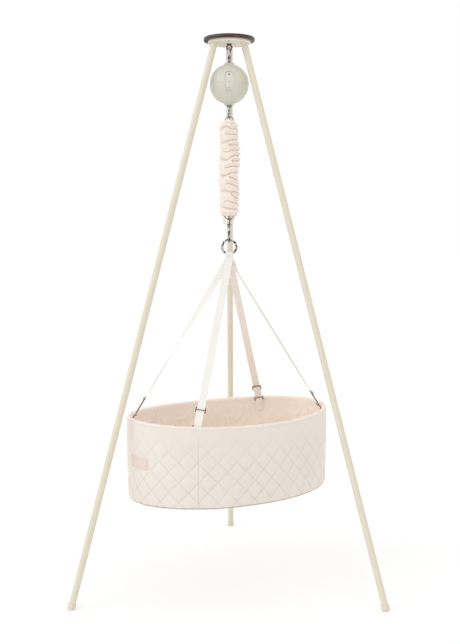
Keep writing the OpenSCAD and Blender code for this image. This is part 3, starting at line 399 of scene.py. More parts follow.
def oiledWalnut():
    # oiled black walnut, turned on a lathe: dark even brown with long fine grain and a low sheen
    material, tree, shader = startMaterial("oiledWalnut", 0.42, Coat_Weight=0.18, Coat_Roughness=0.3)
    rings = noise(tree, objectCoords(tree, (0.12, 1, 1)), 9, 5.0, Roughness=0.6, Distortion=0.8)["Fac"]
    pores = noise(tree, objectCoords(tree, (0.05, 1, 1)), 0.9, 3.0)["Fac"]
    base = ramp(tree, rings, [(0.28, "#2a1712"), (0.5, "#4b2c22"), (0.68, "#6b4535"), (0.85, "#3a211a")])
    grain = ramp(tree, pores, [(0.35, "#2b1812"), (0.6, "#7a5644")])
    setColour(tree, shader, mixColours(tree, 0.35, base, grain, "OVERLAY"))
    bump(tree, shader, pores, 0.12 * mm)
    return material


def birchPlywood():
    # birch plywood: pale even faces with faint wavy grain, and plies 1.5 mm thick that show as lines at its
    # edge
    material, tree, shader = startMaterial("birchPlywood", 0.6)
    grain = noise(tree, objectCoords(tree, (0.08, 1, 1)), 5, 4.0, Distortion=0.6)["Fac"]
    plies = wave(tree, objectCoords(tree), perMm(3.0) / 20, "Z", Distortion=0.1)
    face = ramp(tree, grain, [(0.3, "#d9bd93"), (0.6, "#ead3ae")])
    edge = ramp(tree, plies, [(0.3, "#b08a5c"), (0.6, "#e4c9a0")])
    upright = add(tree, "SeparateXYZ", {"Vector": add(tree, "NewGeometry").outputs["Normal"]}).outputs["Z"]
    setColour(tree, shader, mixColours(tree, calc(tree, "ABSOLUTE", upright), edge, face))
    bump(tree, shader, grain, 0.05 * mm)
    return material


def powderCoat(name, code):
    # powder-coated steel tube: an even baked paint with the faint orange peel that the powder leaves
    material, tree, shader = startMaterial(name, 0.42, Coat_Weight=0.1, Coat_Roughness=0.35)
    cloudyColour(tree, shader, code, 60, (0.96, 1.08), (1.03, 0.9))
    bump(tree, shader, noise(tree, objectCoords(tree), 1.6, 2.0)["Fac"], 0.05 * mm)
    return material


def metal(name, dark, pale, roughness, grit, depth, patch=12, sharp=(0.3, 0.65)):
    # bare or plated metal: polish lines and handling marks vary its shine, and grit is their spacing in mm;
    # its base colour changes between dark and pale every patch mm: painted reflections on the polished
    # stainless, zinc and spring steel, patina on the antique copper and an uneven grey on the pressed steel
    material, tree, shader = startMaterial(name, roughness, metallic=1.0)
    marks = noise(tree, objectCoords(tree, (1, 1, 0.25)), grit, 4.0, Roughness=0.65)["Fac"]
    cloud = noise(tree, objectCoords(tree), patch, 3.0)["Fac"]
    setColour(tree, shader, ramp(tree, cloud, [(sharp[0], dark), (sharp[1], pale)]))
    shine = mapRange(tree, marks, 0.0, 1.0, roughness * 0.6, roughness * 1.5)
    tree.links.new(shine, shader.inputs["Roughness"])
    bump(tree, shader, marks, depth)
    return material


def mouldedPlastic(name, code, roughness, grain=0.7, shade=0.03):
    # injection-moulded plastic with a spark-eroded grain: soft light, no clear highlight, colour nearly even
    material, tree, shader = startMaterial(name, roughness, ior=1.53)
    cloudyColour(tree, shader, code, 35, (1 - shade, 1.0), (1 + shade, 1.0))
    bump(tree, shader, noise(tree, objectCoords(tree), grain, 2.0)["Fac"], 0.04 * mm)
    return material


def wovenCloth(name, code, fold, thread=0.9, depth=0.12 * mm, sheen=0.25, uv=True, streak=90):
    # plain-woven cotton: matt, with threads crossing every thread mm (drawn coarser than life so that they
    # show), a little fuzz that lightens its edges, and slubs that vary the colour
    material, tree, shader = startMaterial(name, 0.92, ior=1.46, Sheen_Weight=sheen, Sheen_Roughness=0.5)
    shader.inputs["Sheen Tint"].default_value = paint("#fff4ec")
    coords = uvCoords(tree) if uv else objectCoords(tree)
    loose = {"Distortion": 1.2, "Detail": 2.0, "Detail Scale": 2.0}
    warp, weft = [wave(tree, coords, perMm(thread) / tau * math.pi / 10, way, **loose) for way in "XY"]
    slub = noise(tree, coords, 6, 5.0, Roughness=0.7)
    tone = mixColours(tree, noise(tree, coords, streak, 3.0)["Fac"], paint(fold), paint(code))
    setColour(tree, shader, mixColours(tree, 0.10, tone, slub["Color"], "SOFT_LIGHT"))
    bump(tree, shader, calc(tree, "MULTIPLY", warp, weft), depth)
    bump(tree, shader, slub["Fac"], depth * 1.5)
    return material


tapePitch = 0.0251        # the webbing's width on the UV map, a little over the real one


def webbing(name, face, back):
    # cotton webbing: ribs across the tape every 1.4 mm and a finer herringbone along it, with dense matt
    # yarn; its face and its back differ, and the UV map runs over the face for the first tape's width
    material, tree, shader = startMaterial(name, 0.88, ior=1.46, Sheen_Weight=0.2, Sheen_Roughness=0.5)
    rib = wave(tree, uvCoords(tree), perMm(1.4) / 20, "Y", Distortion=0.4)
    twill = wave(tree, uvCoords(tree, math.radians(38)), perMm(2.2) / 20, "X", Distortion=0.3)
    spot = add(tree, "SeparateXYZ", {"Vector": uvCoords(tree)}).outputs["X"]
    side = calc(tree, "GREATER_THAN", calc(tree, "FLOORED_MODULO", spot, 2 * tapePitch), tapePitch)
    cloud = noise(tree, uvCoords(tree), 50, 4.0)["Fac"]
    sides = [mixColours(tree, cloud, paint(fold), paint(code)) for code, fold in (face, back)]
    setColour(tree, shader, mixColours(tree, side, *sides))
    bump(tree, shader, calc(tree, "ADD", rib, twill), 0.14 * mm)
    return material


walnut = oiledWalnut()
cream = powderCoat("creamPowderCoat", "#e3dac6")
# the head plate has the legs' cream powder coat, painted paler as painted light, since its face turns down
# and gets less light
plateCream = powderCoat("plateCream", "#f6efe0")
# the dark and pale base colours below are painted reflections on the steels and zinc, patina on the copper
zincPlate = metal("zincPlate", "#3f3a34", "#9c958a", 0.32, 2.0, 0.03 * mm, 7, (0.38, 0.62))
stainless = metal("polishedStainless", "#242327", "#dedddd", 0.15, 1.4, 0.05 * mm, 6, (0.42, 0.58))
springSteel = metal("springSteel", "#3d3d42", "#a5a5a8", 0.26, 1.0, 0.02 * mm, 8)
antiqueCopper = metal("antiqueCopper", "#4a2a20", "#96604a", 0.36, 1.2, 0.04 * mm, 8)
pressedSteel = metal("pressedSteel", "#8f959b", "#aab0b5", 0.42, 1.5, 0.03 * mm)
ballPlastic = mouldedPlastic("mouldedAbs", "#d6d4c6", 0.5, grain=0.8)
panelPlastic = mouldedPlastic("panelAbs", "#dedbce", 0.45)
buttonPlastic = mouldedPlastic("buttonAbs", "#d4d0c2", 0.4, grain=0.5)
darkPlastic = mouldedPlastic("darkAbs", "#2a2a29", 0.35)
nylon = mouldedPlastic("nylon", "#e4ddcd", 0.5)
circuitGreen = mouldedPlastic("circuitLaminate", "#2f6b4f", 0.3, grain=2.0, shade=0.15)
white, blush = ("#f7f5f0", "#efece5"), ("#fbf2e9", "#f5e7dc")
whiteWebbing = webbing("whiteWebbing", white, white)
twoSidedWebbing = webbing("twoSidedWebbing", white, blush)
sleeveCotton = wovenCloth("sleeveCotton", "#faf0e5", "#f1e1d4", thread=0.8, sheen=0.3, streak=40)
cordCotton = wovenCloth("cordCotton", "#efe9dd", "#ddd4c4", thread=1.0, uv=False)
quiltedCotton = wovenCloth("quiltedCotton", "#f1e9e0", "#e9dfd5", thread=0.9)
rimCotton = wovenCloth("rimCotton", "#f6f1ea", "#eee7de", thread=0.9)
liningCotton = wovenCloth("liningCotton", "#f9eee3", "#f4e4d7", thread=0.9)
mattressCotton = wovenCloth("mattressCotton", "#f4eee6", "#ebe2d7", thread=1.0, uv=False)
labelCotton = wovenCloth("labelCotton", "#ecdccf", "#e4d2c4", thread=1.1, sheen=0.1)
feltBoard = wovenCloth("feltBoard", "#d8cfc0", "#cabfae", thread=2.0, uv=False)
threadCotton = wovenCloth("threadCotton", "#efe6dc", "#e2d6ca", thread=0.5, uv=False, depth=0.03 * mm)
birch = birchPlywood()
print("materials made")


for node, finish, rounding in (
        ("head_disc", walnut, 0.9 * mm), ("head_plate", plateCream, 0.7 * mm), ("leg_left", cream, 0),
        ("leg_right", cream, 0), ("leg_rear", cream, 0), ("foot_left", cream, 0), ("foot_right", cream, 0),
        ("foot_rear", cream, 0), ("eye_bolt", zincPlate, 0), ("upper_hook", stainless, 0),
        ("upper_gate", stainless, 0.25 * mm), ("lower_hook", stainless, 0),
        ("lower_gate", stainless, 0.25 * mm),
        ("shell_upper", ballPlastic, 0.6 * mm), ("shell_lower", ballPlastic, 0.6 * mm),
        ("control_panel", panelPlastic, 0.5 * mm),
        ("hanging_bail", zincPlate, 0), ("pull_eye", zincPlate, 0), ("status_lens", darkPlastic, 0.3 * mm),
        ("power_inlet", darkPlastic, 0.3 * mm), ("shell_screws", zincPlate, 0.2 * mm),
        ("swivel_eye", stainless, 0), ("swivel_hook", stainless, 0), ("swivel_gate", stainless, 0.25 * mm),
        ("ring", stainless, 0), ("strap_sliders", antiqueCopper, 0), ("anchor_loops", antiqueCopper, 0)):
    dress(node, finish, rounding)

# inner parts keep their CAD shapes and get their finishes
for node, finish in (("eye_nut", zincPlate), ("disc_screws", zincPlate), ("leg_bolts", zincPlate),
                     ("leg_plugs", nylon), ("motor_chassis", pressedSteel), ("gearbox", pressedSteel),
                     ("motor_can", pressedSteel), ("winding_drum", nylon), ("circuit_board", circuitGreen),
                     ("button_switches", darkPlastic), ("base_board", birch)):
    nodes[node].data.materials.clear()
    nodes[node].data.materials.append(finish)
print("rigid parts dressed")


button = dict(rows=26, sides=64, dome=0.0022, dish=0.0006)


def buttonGrid(node):
    # a domed cap on the node's box: its face falls from the middle by a power of the radius, round to a
    # straight side
    low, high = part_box(node)
    middle = np.array([(low.x + high.x) / 2, 0, (low.z + high.z) / 2])
    radius, depth = (high.x - low.x) / 2, high.y - low.y
    front = low.y - axisY
    share = np.linspace(0, 1, button["rows"])
    r = np.concatenate([[0.02], np.sin(share[1:] * math.pi / 2) ** 0.8, [1.0, 0.98, 0.02]]) * radius
    out = r[:-3] / radius
    fall = button["dome"] * out ** 2.6 - button["dish"] * np.exp(-(out / 0.35) ** 2) + button["dish"]
    y = np.concatenate([front + fall, [front + depth - 0.0003, front + depth, front + depth]])
    a = (np.arange(button["sides"]) * tau / button["sides"])[None]
    return middle + np.stack([r[:, None] * np.cos(a), y[:, None] + 0 * a, r[:, None] * np.sin(a)], -1)


for node, body in (("power_button", "power_key"), ("speed_button", "speed_key")):
    placeGrid(node + "_cap", buttonGrid(node), body, slotOf[node], buttonPlastic, [node], 50)


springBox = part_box("spring")
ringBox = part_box("ring")
spring = dict(radius=0.014, wire=0.003, turns=24, length=0.316, sides=10, stepsPerTurn=40)
coilTop = springBox[1].z - spring["radius"] - spring["wire"] / 2
coilEnd = coilTop - spring["length"]


def springPath():
    # half a circle upright at the top, a helix of the coil's turns going down, and half a circle at the
    # bottom
    r, top, low = spring["radius"], coilTop, coilEnd
    half = np.linspace(math.pi, 0, 24)[:-1]
    loop = np.stack([r * np.cos(half), 0 * half, top + r * np.sin(half)], -1)
    t = np.linspace(0, 1, spring["turns"] * spring["stepsPerTurn"] + 1)
    a = t * spring["turns"] * tau
    coil = np.stack([r * np.cos(a), r * np.sin(a), top + (low - top) * t], -1)
    half = np.linspace(0, math.pi, 24)[1:]
    end = np.stack([r * np.cos(half), 0 * half, low - r * np.sin(half)], -1)
    return np.concatenate([loop, coil, end])


def springMesh():
    # a round wire carried along the spring's path, its side vector square to the coil's axis
    path = springPath()
    side = path * (1, 1, 0) + np.array([1e-6, 0, 0])
    upright = np.abs(path[:, 1]) < 1e-9
    middle = np.where(path[:, 2] > coilTop, coilTop, np.where(path[:, 2] < coilEnd, coilEnd, path[:, 2]))
    side = np.where(upright[:, None], path - np.stack([0 * middle, 0 * middle, middle], -1), side)
    return gridMesh("springWire", carry(circle(spring["wire"] / 2, spring["sides"]), path, side))


wire = place("springWire", springMesh(), None, springSteel, ["spring"])
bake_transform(wire)


safetyCord = dict(radius=0.002, sway=0.005, coils=3, strands=3, lay=0.014, rows=420, sides=18)


def cordMesh():
    # a slack helix that swells in the middle, its section a three-lobed circle that turns with the lay
    low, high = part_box("safety_cord")[0].z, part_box("safety_cord")[1].z
    t = np.linspace(0, 1, safetyCord["rows"])
    r = safetyCord["sway"] * np.sin(math.pi * t) ** 0.7
    a = tau * safetyCord["coils"] * t
    path = np.stack([r * np.sin(a), r * np.cos(a), high + (low - high) * t], -1)
    angle = np.arange(safetyCord["sides"]) * tau / safetyCord["sides"]
    turn = (high - low) * t[:, None] / safetyCord["lay"] * tau
    lobes = 1 - 0.16 * (0.5 + 0.5 * np.cos(safetyCord["strands"] * angle[None] + turn))
    section = safetyCord["radius"] * lobes[..., None] * np.stack([np.cos(angle), np.sin(angle)], -1)
    ahead = unit(np.gradient(path, axis=0))
    side = unit(np.array([1.0, 0, 0]) - ahead[:, :1] * ahead)
    up = np.cross(ahead, side)
    grid = path[:, None] + section[..., :1] * side[:, None] + section[..., 1:] * up[:, None]
    return gridMesh("safetyCord", grid)


cordPiece = place("safetyCord", cordMesh(), None, cordCotton, ["safety_cord"])
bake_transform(cordPiece)


sleeve = dict(columns=150, rows=360, radius=0.0300, fold=0.0078, pitch=0.0262, least=0.0172, bore=0.0159,
              cloth=0.0008, topNeck=0.026, endNeck=0.018, ruffle=0.010, lower=0.006, crumple=0.0016,
              swell=0.0030, slack=0.0007, fine=0.00012, frill=0.005, droop=0.0042)
# folds that don't go all the way round: share of the length, and the two angles between which a fold is added
foldForks = ((0.06, 1.2, 4.9), (0.15, 2.2, 4.3), (0.25, 0.9, 4.7), (0.33, 1.9, 4.0), (0.42, 2.6, 5.0),
             (0.50, 1.1, 4.2), (0.58, 2.0, 4.8), (0.67, 1.4, 4.4), (0.76, 2.4, 5.1), (0.86, 0.8, 4.1))


def sleeveOuter():
    # a tube gathered into rings: the radius rises by |sin| of a phase that climbs with the height; a fork
    # adds the angle between two points seen on the unrolled tube, so that a fold starts at one and ends at
    # the other; slanted creases cross the folds, and the ends draw in to the spring
    low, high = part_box("spring_sleeve")[0].z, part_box("spring_sleeve")[1].z - sleeve["lower"]
    length = high - low
    t = np.linspace(0, 1, sleeve["rows"])[:, None]
    a = (np.arange(sleeve["columns"]) * tau / sleeve["columns"])[None]
    z = length * t
    phase = z / sleeve["pitch"] + 0.10 * np.sin(a + 7 * t) \
        + 0.12 * waves(a, 9 * t, 3, across=(1, 3), along=(0.4, 1.4))
    for share, one, two in foldForks:
        spot = np.exp((z - share * length) / sleeve["radius"] + 1j * a)
        phase = phase + np.angle((spot - np.exp(1j * one)) * np.conj(spot - np.exp(1j * two))) / tau
    puff = np.abs(np.sin(math.pi * phase)) ** 0.42
    deep = 0.85 + 0.35 * np.cos(a - 5.6)
    size = 1 + 0.25 * waves(a, 12 * t, 5, across=(1, 3), along=(0.5, 2))
    crease = waves(a, 26 * t, 8, count=12, across=(1, 4), along=(0.4, 1.6))
    crease = np.clip(1 - 3.5 * np.abs(crease), 0, 1) ** 2
    slack = waves(a, 34 * t, 9, across=(2, 6), along=(0.4, 1.6))
    fine = waves(a, 90 * t, 11, count=40, across=(5, 16), along=(0.5, 2))
    body = sleeve["radius"] + sleeve["swell"] * smoothStep(t / 0.8) + 0.0012 * np.sin(2 * a + 5 * t) \
        - 0.0010 * np.cos(a) * t
    radius = body + sleeve["fold"] * deep * (size * puff - 0.72) - sleeve["crumple"] * crease * puff \
        + sleeve["slack"] * slack + sleeve["fine"] * fine
    neck = 1 - (1 - smoothStep(z / sleeve["topNeck"] * 1.3)) * 0.9
    tail = 1 - (1 - smoothStep((length - z) / sleeve["endNeck"])) * 0.80
    ruffle = np.exp(-((length - z) / sleeve["ruffle"]) ** 2)
    radius = sleeve["least"] + (radius - sleeve["least"]) * neck * tail
    radius = radius + ruffle * sleeve["frill"] * (1 + 0.8 * waves(a, 0 * t, 21, across=(4, 11)))
    radius = np.maximum(radius, sleeve["least"] + 0.0002 * fine)
    droop = -sleeve["droop"] * np.sin(tau * phase) * puff * neck * tail
    grid = np.stack([radius * np.cos(a), radius * np.sin(a), high - z + np.clip(droop, -0.005, 0.005)
                     * smoothStep(z / 0.01) * smoothStep((length - z) / 0.01) + 0 * a], -1)
    return grid, np.clip(puff - 0.12 * crease, 0, 1) * neck + 1 - neck


def gridNormals(grid):
    # the outward normal of a tube's grid, from the cross product of its two directions
    along = np.gradient(grid, axis=0)
    across = np.roll(grid, -1, 1) - np.roll(grid, 1, 1)
    normal = unit(np.cross(across, along))
    middle = grid.mean(1, keepdims=True)
    return normal * np.sign((normal * (grid - middle)).sum(-1).mean() + 1e-12)


def sleeveMesh():
    # the outer surface and, one cloth's thickness inside it, the inner one, kept clear of the spring by the
    # bore
    outer, full = sleeveOuter()
    inner = outer - sleeve["cloth"] * gridNormals(outer)
    flat = np.hypot(inner[..., 0], inner[..., 1])
    inner[..., :2] *= (np.maximum(flat, sleeve["bore"]) / flat)[..., None]
    mesh = gridMesh("sleeve", np.concatenate([outer, inner[::-1]]), wrapAlong=True)
    # fullness, 1 on the fold crests and less in the valleys, masks the painted crease shade on the cotton
    fullness = mesh.attributes.new("fullness", "FLOAT", "POINT")
    fullness.data.foreach_set("value", np.concatenate([full, full[::-1]]).astype(np.float32).ravel())
    return mesh


def gatheredCotton():
    # the sleeve's cotton, with a deeper pink-brown painted shade where the gathers lie packed in the creases
    material = wovenCloth("gatheredCotton", "#fbf2e8", "#f3e5d9", thread=0.8, sheen=0.3, streak=40)
    tree = material.node_tree
    shader = tree.nodes["Principled BSDF"]
    full = add(tree, "Attribute", attribute_name="fullness").outputs["Fac"]
    # painted shade: up to 0.62 of the crease colour where the folds sink deepest, none on the crests
    creaseShade = mapRange(tree, full, 0.22, 0.66, 0.62, 0.0)
    plain = shader.inputs["Base Color"].links[0].from_socket
    setColour(tree, shader, mixColours(tree, creaseShade, plain, paint("#dab9a7")))
    return material


sleevePiece = place("sleeve", sleeveMesh(), None, gatheredCotton(), ["spring_sleeve"])
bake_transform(sleevePiece)


ties = dict(angles=(205, 318, 85), width=0.010, length=0.030, thickness=0.0011, start=0.0165)


def tieMesh():
    # three short tails that hang from under the sleeve, each a narrow tape that curls outwards
    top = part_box("sleeve_ties")[1].z
    made = []
    for k, degrees in enumerate(ties["angles"]):
        a = math.radians(degrees)
        t = np.linspace(0, 1, 26)
        out = ties["start"] + 0.0030 * np.sin(math.pi * t) + 0.0012 * np.sin(5 * t + k)
        sway = 0.12 * np.sin(3 * t + k)
        fall = top - ties["length"] * (0.9 + 0.1 * k / 2) * t
        path = np.stack([out * np.cos(a + sway), out * np.sin(a + sway), fall], -1)
        side = np.stack([-np.sin(a + 0.9 * t), np.cos(a + 0.9 * t), 0 * t], -1)
        made.append(carry(tapeProfile(ties["width"], ties["thickness"]), path, side))
    return made


def mergeMeshes(name, meshes):
    # several meshes, each already in its place, in one
    whole = bmesh.new()
    for part in meshes:
        whole.from_mesh(part)
        bpy.data.meshes.remove(part)
    mesh = bpy.data.meshes.new(name)
    whole.to_mesh(mesh)
    whole.free()
    mesh.shade_smooth()
    return mesh


def joinGrids(name, grids):
    # several closed grids of any size in one mesh
    return mergeMeshes(name, [gridMesh(name + str(k), grid) for k, grid in enumerate(grids)])


place("sleeveTies", joinGrids("sleeveTies", tieMesh()), "spring_end", sleeveCotton,
      ["sleeve_ties"])

pullCord = dict(rows=160, strands=4, lay=0.004)
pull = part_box("pull_cord")
pullRadius = (pull[1].x - pull[0].x) / 2


def braidGrid(path, radius, strands, lay, sides=24):
    # a straight braided cord: its radius swells where two sets of slanted strands cross
    run = np.linalg.norm(path - path[0], axis=1)[:, None]
    a = (np.arange(sides) * tau / sides)[None]
    weave = np.cos(strands * a + run / lay * tau) * np.cos(strands * a - run / lay * tau)
    r = radius * (0.95 + 0.05 * weave)
    return np.stack([path[:, :1] + r * np.cos(a), path[:, 1:2] + r * np.sin(a), path[:, 2:] + 0 * a], -1)


pullPath = np.zeros((pullCord["rows"], 3))
pullPath[:, 2] = np.linspace(pull[1].z, pull[0].z, pullCord["rows"])
placeGrid("pullCord", braidGrid(pullPath, pullRadius, pullCord["strands"], pullCord["lay"]), "pull", "nylon",
          nylon, ["pull_cord"])
print("spring, sleeve and cords made")


cradle = dict(length=0.740, width=0.500, ovalPower=2.02, turn=31.0, taper=0.005, saddle=0.005, cover=0.004,
              stiffener=0.008, lining=0.003, gap=0.0003, board=0.008, edge=0.009, foot=0.015, curl=0.005)
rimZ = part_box("rim_roll")[1].z - cradle["saddle"]
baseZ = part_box("outer_cover")[0].z
cradleHeight = rimZ - baseZ
rollRadius = (cradle["cover"] + cradle["stiffener"] + cradle["lining"] + 2 * cradle["gap"]) / 2
wallTop = rimZ - 2 * rollRadius - cradle["gap"]
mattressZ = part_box("mattress")[0].z
turnCos, turnSin = math.cos(math.radians(cradle["turn"])), math.sin(math.radians(cradle["turn"]))


def wallPoint(inset, z, share, a):
    # a point of the oval wall: a superellipse, drawn in by the inset and by the taper below the rim, lifted
    # at its ends and lowered at its sides by a share of the saddle, and turned about the axis
    inset = inset + cradle["taper"] * (rimZ - z) / cradleHeight
    c, s = np.cos(a), np.sin(a)
    x = (cradle["length"] / 2 - inset) * np.sign(c) * np.abs(c) ** (2 / cradle["ovalPower"])
    y = (cradle["width"] / 2 - inset) * np.sign(s) * np.abs(s) ** (2 / cradle["ovalPower"])
    z = z + share * cradle["saddle"] * np.cos(2 * a)
    return np.stack(np.broadcast_arrays(x * turnCos - y * turnSin, x * turnSin + y * turnCos, z), -1)


def wallOut(a):
    # the outward direction, level, at angle a of the oval
    step = wallPoint(0, rimZ, 0, a + 1e-3) - wallPoint(0, rimZ, 0, a - 1e-3)
    return unit(np.stack([step[..., 1], -step[..., 0], 0 * step[..., 0]], -1))


fineAngles = np.linspace(0, tau, 4001)
fineRun = runAlong(wallPoint(0, rimZ, 0, fineAngles))
perimeter = fineRun[-1]


def evenAngles(count):
    # angles of the oval whose distances along the wall are even
    return np.interp(np.arange(count) / count * perimeter, fineRun, fineAngles)


def runAt(a):
    # the distance along the wall at angle a
    return np.interp(np.mod(a, tau), fineAngles, fineRun)


def wallAngles(count, closeTo=()):
    # even places round the wall, with more of them within 6 mm of each seam
    run, near = [np.arange(count) / count * perimeter], np.linspace(-0.006, 0.006, 21)
    run += [np.mod(runAt(math.radians(degrees)) + near, perimeter) for degrees in closeTo]
    return np.interp(np.unique(np.concatenate(run)), fineRun, fineAngles)


def stitchedQuilt(material):
    # thin darker dashed lines where the quilting's stitches sink, the thread's colour together with painted
    # shade of the sunk groove, and a darker band round the lower edge, painted shade where the cloth turns
    # under: the cover's UVs give the diamonds' two counts, and the distance to the nearest whole count is the
    # distance to a line
    tree = material.node_tree
    shader = tree.nodes["Principled BSDF"]
    uv = add(tree, "SeparateXYZ", {"Vector": add(tree, "UVMap", uv_map="metres").outputs["UV"]}).outputs
    wobble = noise(tree, uvCoords(tree), 25, 2.0)["Fac"]
    u = calc(tree, "MULTIPLY", uv["X"], cover["cellsRound"] / perimeter)
    v = calc(tree, "MULTIPLY", uv["Y"], 1 / cover["cellHeight"])
    v = calc(tree, "ADD", v, calc(tree, "MULTIPLY_ADD", wobble, 0.03, -0.015))
    perCell = math.hypot(cover["cellsRound"] / perimeter, 1 / cover["cellHeight"])
    lines = []
    for way, other in (("ADD", "SUBTRACT"), ("SUBTRACT", "ADD")):
        apart = calc(tree, "PINGPONG", calc(tree, way, u, v), 0.5)
        line = mapRange(tree, apart, stitch["half"] * perCell, stitch["fade"] * perCell, 1.0, 0.0)
        dash = calc(tree, "MULTIPLY", calc(tree, other, u, v), 0.5 / (stitch["length"] * perCell))
        dash = mapRange(tree, calc(tree, "PINGPONG", dash, 0.5), 0.08, 0.16, 0.55, 1.0)
        lines.append(calc(tree, "MULTIPLY", line, dash))
    both = calc(tree, "MAXIMUM", *lines)
    both = calc(tree, "MULTIPLY", both, mapRange(tree, uv["Y"], 0.01, 0.11, 0.05, 1.0))
    both = calc(tree, "MULTIPLY", both, calc(tree, "GREATER_THAN", uv["Y"], 0.003))
    # painted shade: a darker band round the lower edge, where the cover turns under towards the base
    edgeShadeAt = wallTop - baseZ - cradle["edge"] + cover["hem"]
    hem = calc(tree, "ABSOLUTE", calc(tree, "SUBTRACT", uv["Y"], edgeShadeAt))
    hem = mapRange(tree, hem, stitch["hemHalf"], stitch["hemFade"], 1.0, 0.0)
    plain = shader.inputs["Base Color"].links[0].from_socket
    # the diamond lines darken the cloth: darker stitch thread and painted shade of the sunk groove
    lined = mixColours(tree, calc(tree, "MULTIPLY", both, stitch["share"]), plain, paint(stitch["line"]))
    setColour(tree, shader, mixColours(tree, hem, lined, paint(stitch["hem"])))
    bump(tree, shader, calc(tree, "SUBTRACT", 1.0, both), 0.5 * mm)
    return material


def roundGap(run, at):
    # the distance along the wall from a place on it, the short way round
    return np.mod(run - at + perimeter / 2, perimeter) - perimeter / 2


# one of cover's values places the band of painted shade 6.8 mm into the lower edge's bend
cover = dict(columns=880, wallRows=110, edgeRows=18, cellsRound=31, cellHeight=0.066, puff=0.0021,
             seams=(232.0, 52.0), pucker=0.00018, lip=(24, -20), hem=0.0068, belly=0.001, lipThick=0.0017,
             proud=0.0003, hemTuck=0.0017, seamFlat=0.007, seamDepth=0.0017, seamWidth=0.0011, lap=0.0008,
             lapOff=0.004, lapWidth=0.0022)
# the diamond lines' colour is darker thread with painted groove shade; the lower band's colour and widths are
# painted shade
stitch = dict(half=0.00045, fade=0.00095, length=0.0034, share=0.32, line="#cdbcae", hem="#c9b4a4",
              hemHalf=0.0012, hemFade=0.0021)
quiltedCover = stitchedQuilt(wovenCloth("quiltedCover", "#f1e9e0", "#e9dfd5", thread=0.9))
label = dict(angle=189.0, lift=0.137, length=0.087, height=0.039, thickness=0.0014, corner=0.12, under=0.0014,
             proud=0.0016, stitchIn=0.0032)
labelSpot = runAt(math.radians(label["angle"]))


def quilting(run, down):
    # diamond quilting: two families of stitch lines at a slant, with a pillow between them, puckers that run
    # across each line, and flat places at the seams, under the label and along the top
    u, v = run / perimeter * cover["cellsRound"], down / cover["cellHeight"]
    a = run / perimeter * tau
    wander = lineWander(a, v)
    lineP, lineQ = np.abs(np.sin(math.pi * (u + v + wander))), np.abs(np.sin(math.pi * (u - v - wander)))
    pillow = (lineP * lineQ) ** 0.5
    fullness = 1 + 0.16 * waves(a, v, 33, across=(3, 16), along=(0.5, 3))
    ripple = waves(a, v, 35, count=50, across=(60, 150), along=(5, 30))
    near = np.exp(-lineP / 0.28) + np.exp(-lineQ / 0.28)
    shape = cover["puff"] * pillow * fullness + cover["pucker"] * ripple * near
    for degrees in cover["seams"]:
        gap = roundGap(run, runAt(math.radians(degrees)))
        shape = shape * (1 - 0.8 * np.exp(-(gap / cover["seamFlat"]) ** 2)) \
            + cover["lap"] * np.exp(-((gap + cover["lapOff"]) / cover["lapWidth"]) ** 2) \
            - cover["seamDepth"] * np.exp(-(gap / cover["seamWidth"]) ** 2) * smoothStep(down / 0.03)
    inLabel = besideLabel(run, down)
    soft = 0.0012 * waves(a, v, 37, across=(2, 9), along=(0.3, 1.5))
    shape = shape * (1 - inLabel) + 0.0006 * inLabel + np.maximum(soft, -0.0004) * (1 - inLabel)
    taut = 0.35 + 0.65 * smoothStep(down / 0.085)
    return shape * taut * smoothStep(down / 0.016)


def lineWander(a, v):
    # how far a stitch line strays from straight, as a share of a cell
    return 0.010 * waves(a, v, 31, across=(4, 20), along=(0.5, 3))


def besideLabel(run, down):
    # 1 where the label lies, 0 a few millimetres away from it
    middle = rimZ - (baseZ + label["lift"])
    return smoothStep((label["length"] / 2 + 0.006 - np.abs(roundGap(run, labelSpot))) / 0.006) \
        * smoothStep((label["height"] / 2 + 0.006 - np.abs(down + rimZ - wallTop - middle)) / 0.006)


rim = dict(sides=44, pucker=0.00022, spacing=0.0085, slant=1.1, square=3.2, lining=(72, 205), tuck=0.0021,
           underCloth=0.3)


def rimPoint(a, t, swell):
    # a point of the rolled rim: a circle in the roll's lower half made squarer, and drawn in by the cover's
    # lip where that wraps it, so that the lip stands flush with the wall
    c, s = np.cos(t), np.sin(t)
    power = np.where(s < 0, rim["square"], 2.0 + 0.6 * smoothStep(1 - s))
    reach = (np.abs(c) ** power + np.abs(s) ** power) ** (-1 / power)
    r = rollRadius * reach + swell
    under = rim["tuck"] * smoothStep((0.5 - s) / 0.3) * smoothStep(c * 3)
    return wallPoint(rollRadius - r * c + under, rimZ - rollRadius + r * s, 1, a)


def rimSwell(a, t):
    # how far the rolled rim stands out: small gathers where the binding turns round it, and slow unevenness
    turn = runAt(a) / perimeter * tau
    gathers = np.cos(turn * round(perimeter / rim["spacing"]) + rim["slant"] * np.sin(t)
                     + 1.8 * waves(turn, np.sin(t), 41, across=(10, 50), along=(0.5, 2)))
    uneven = waves(turn, np.cos(t), 43, across=(5, 60), along=(0.5, 2), count=40)
    return rim["pucker"] * gathers * (0.5 + 0.5 * np.abs(np.sin(t))) + 0.0004 * uneven


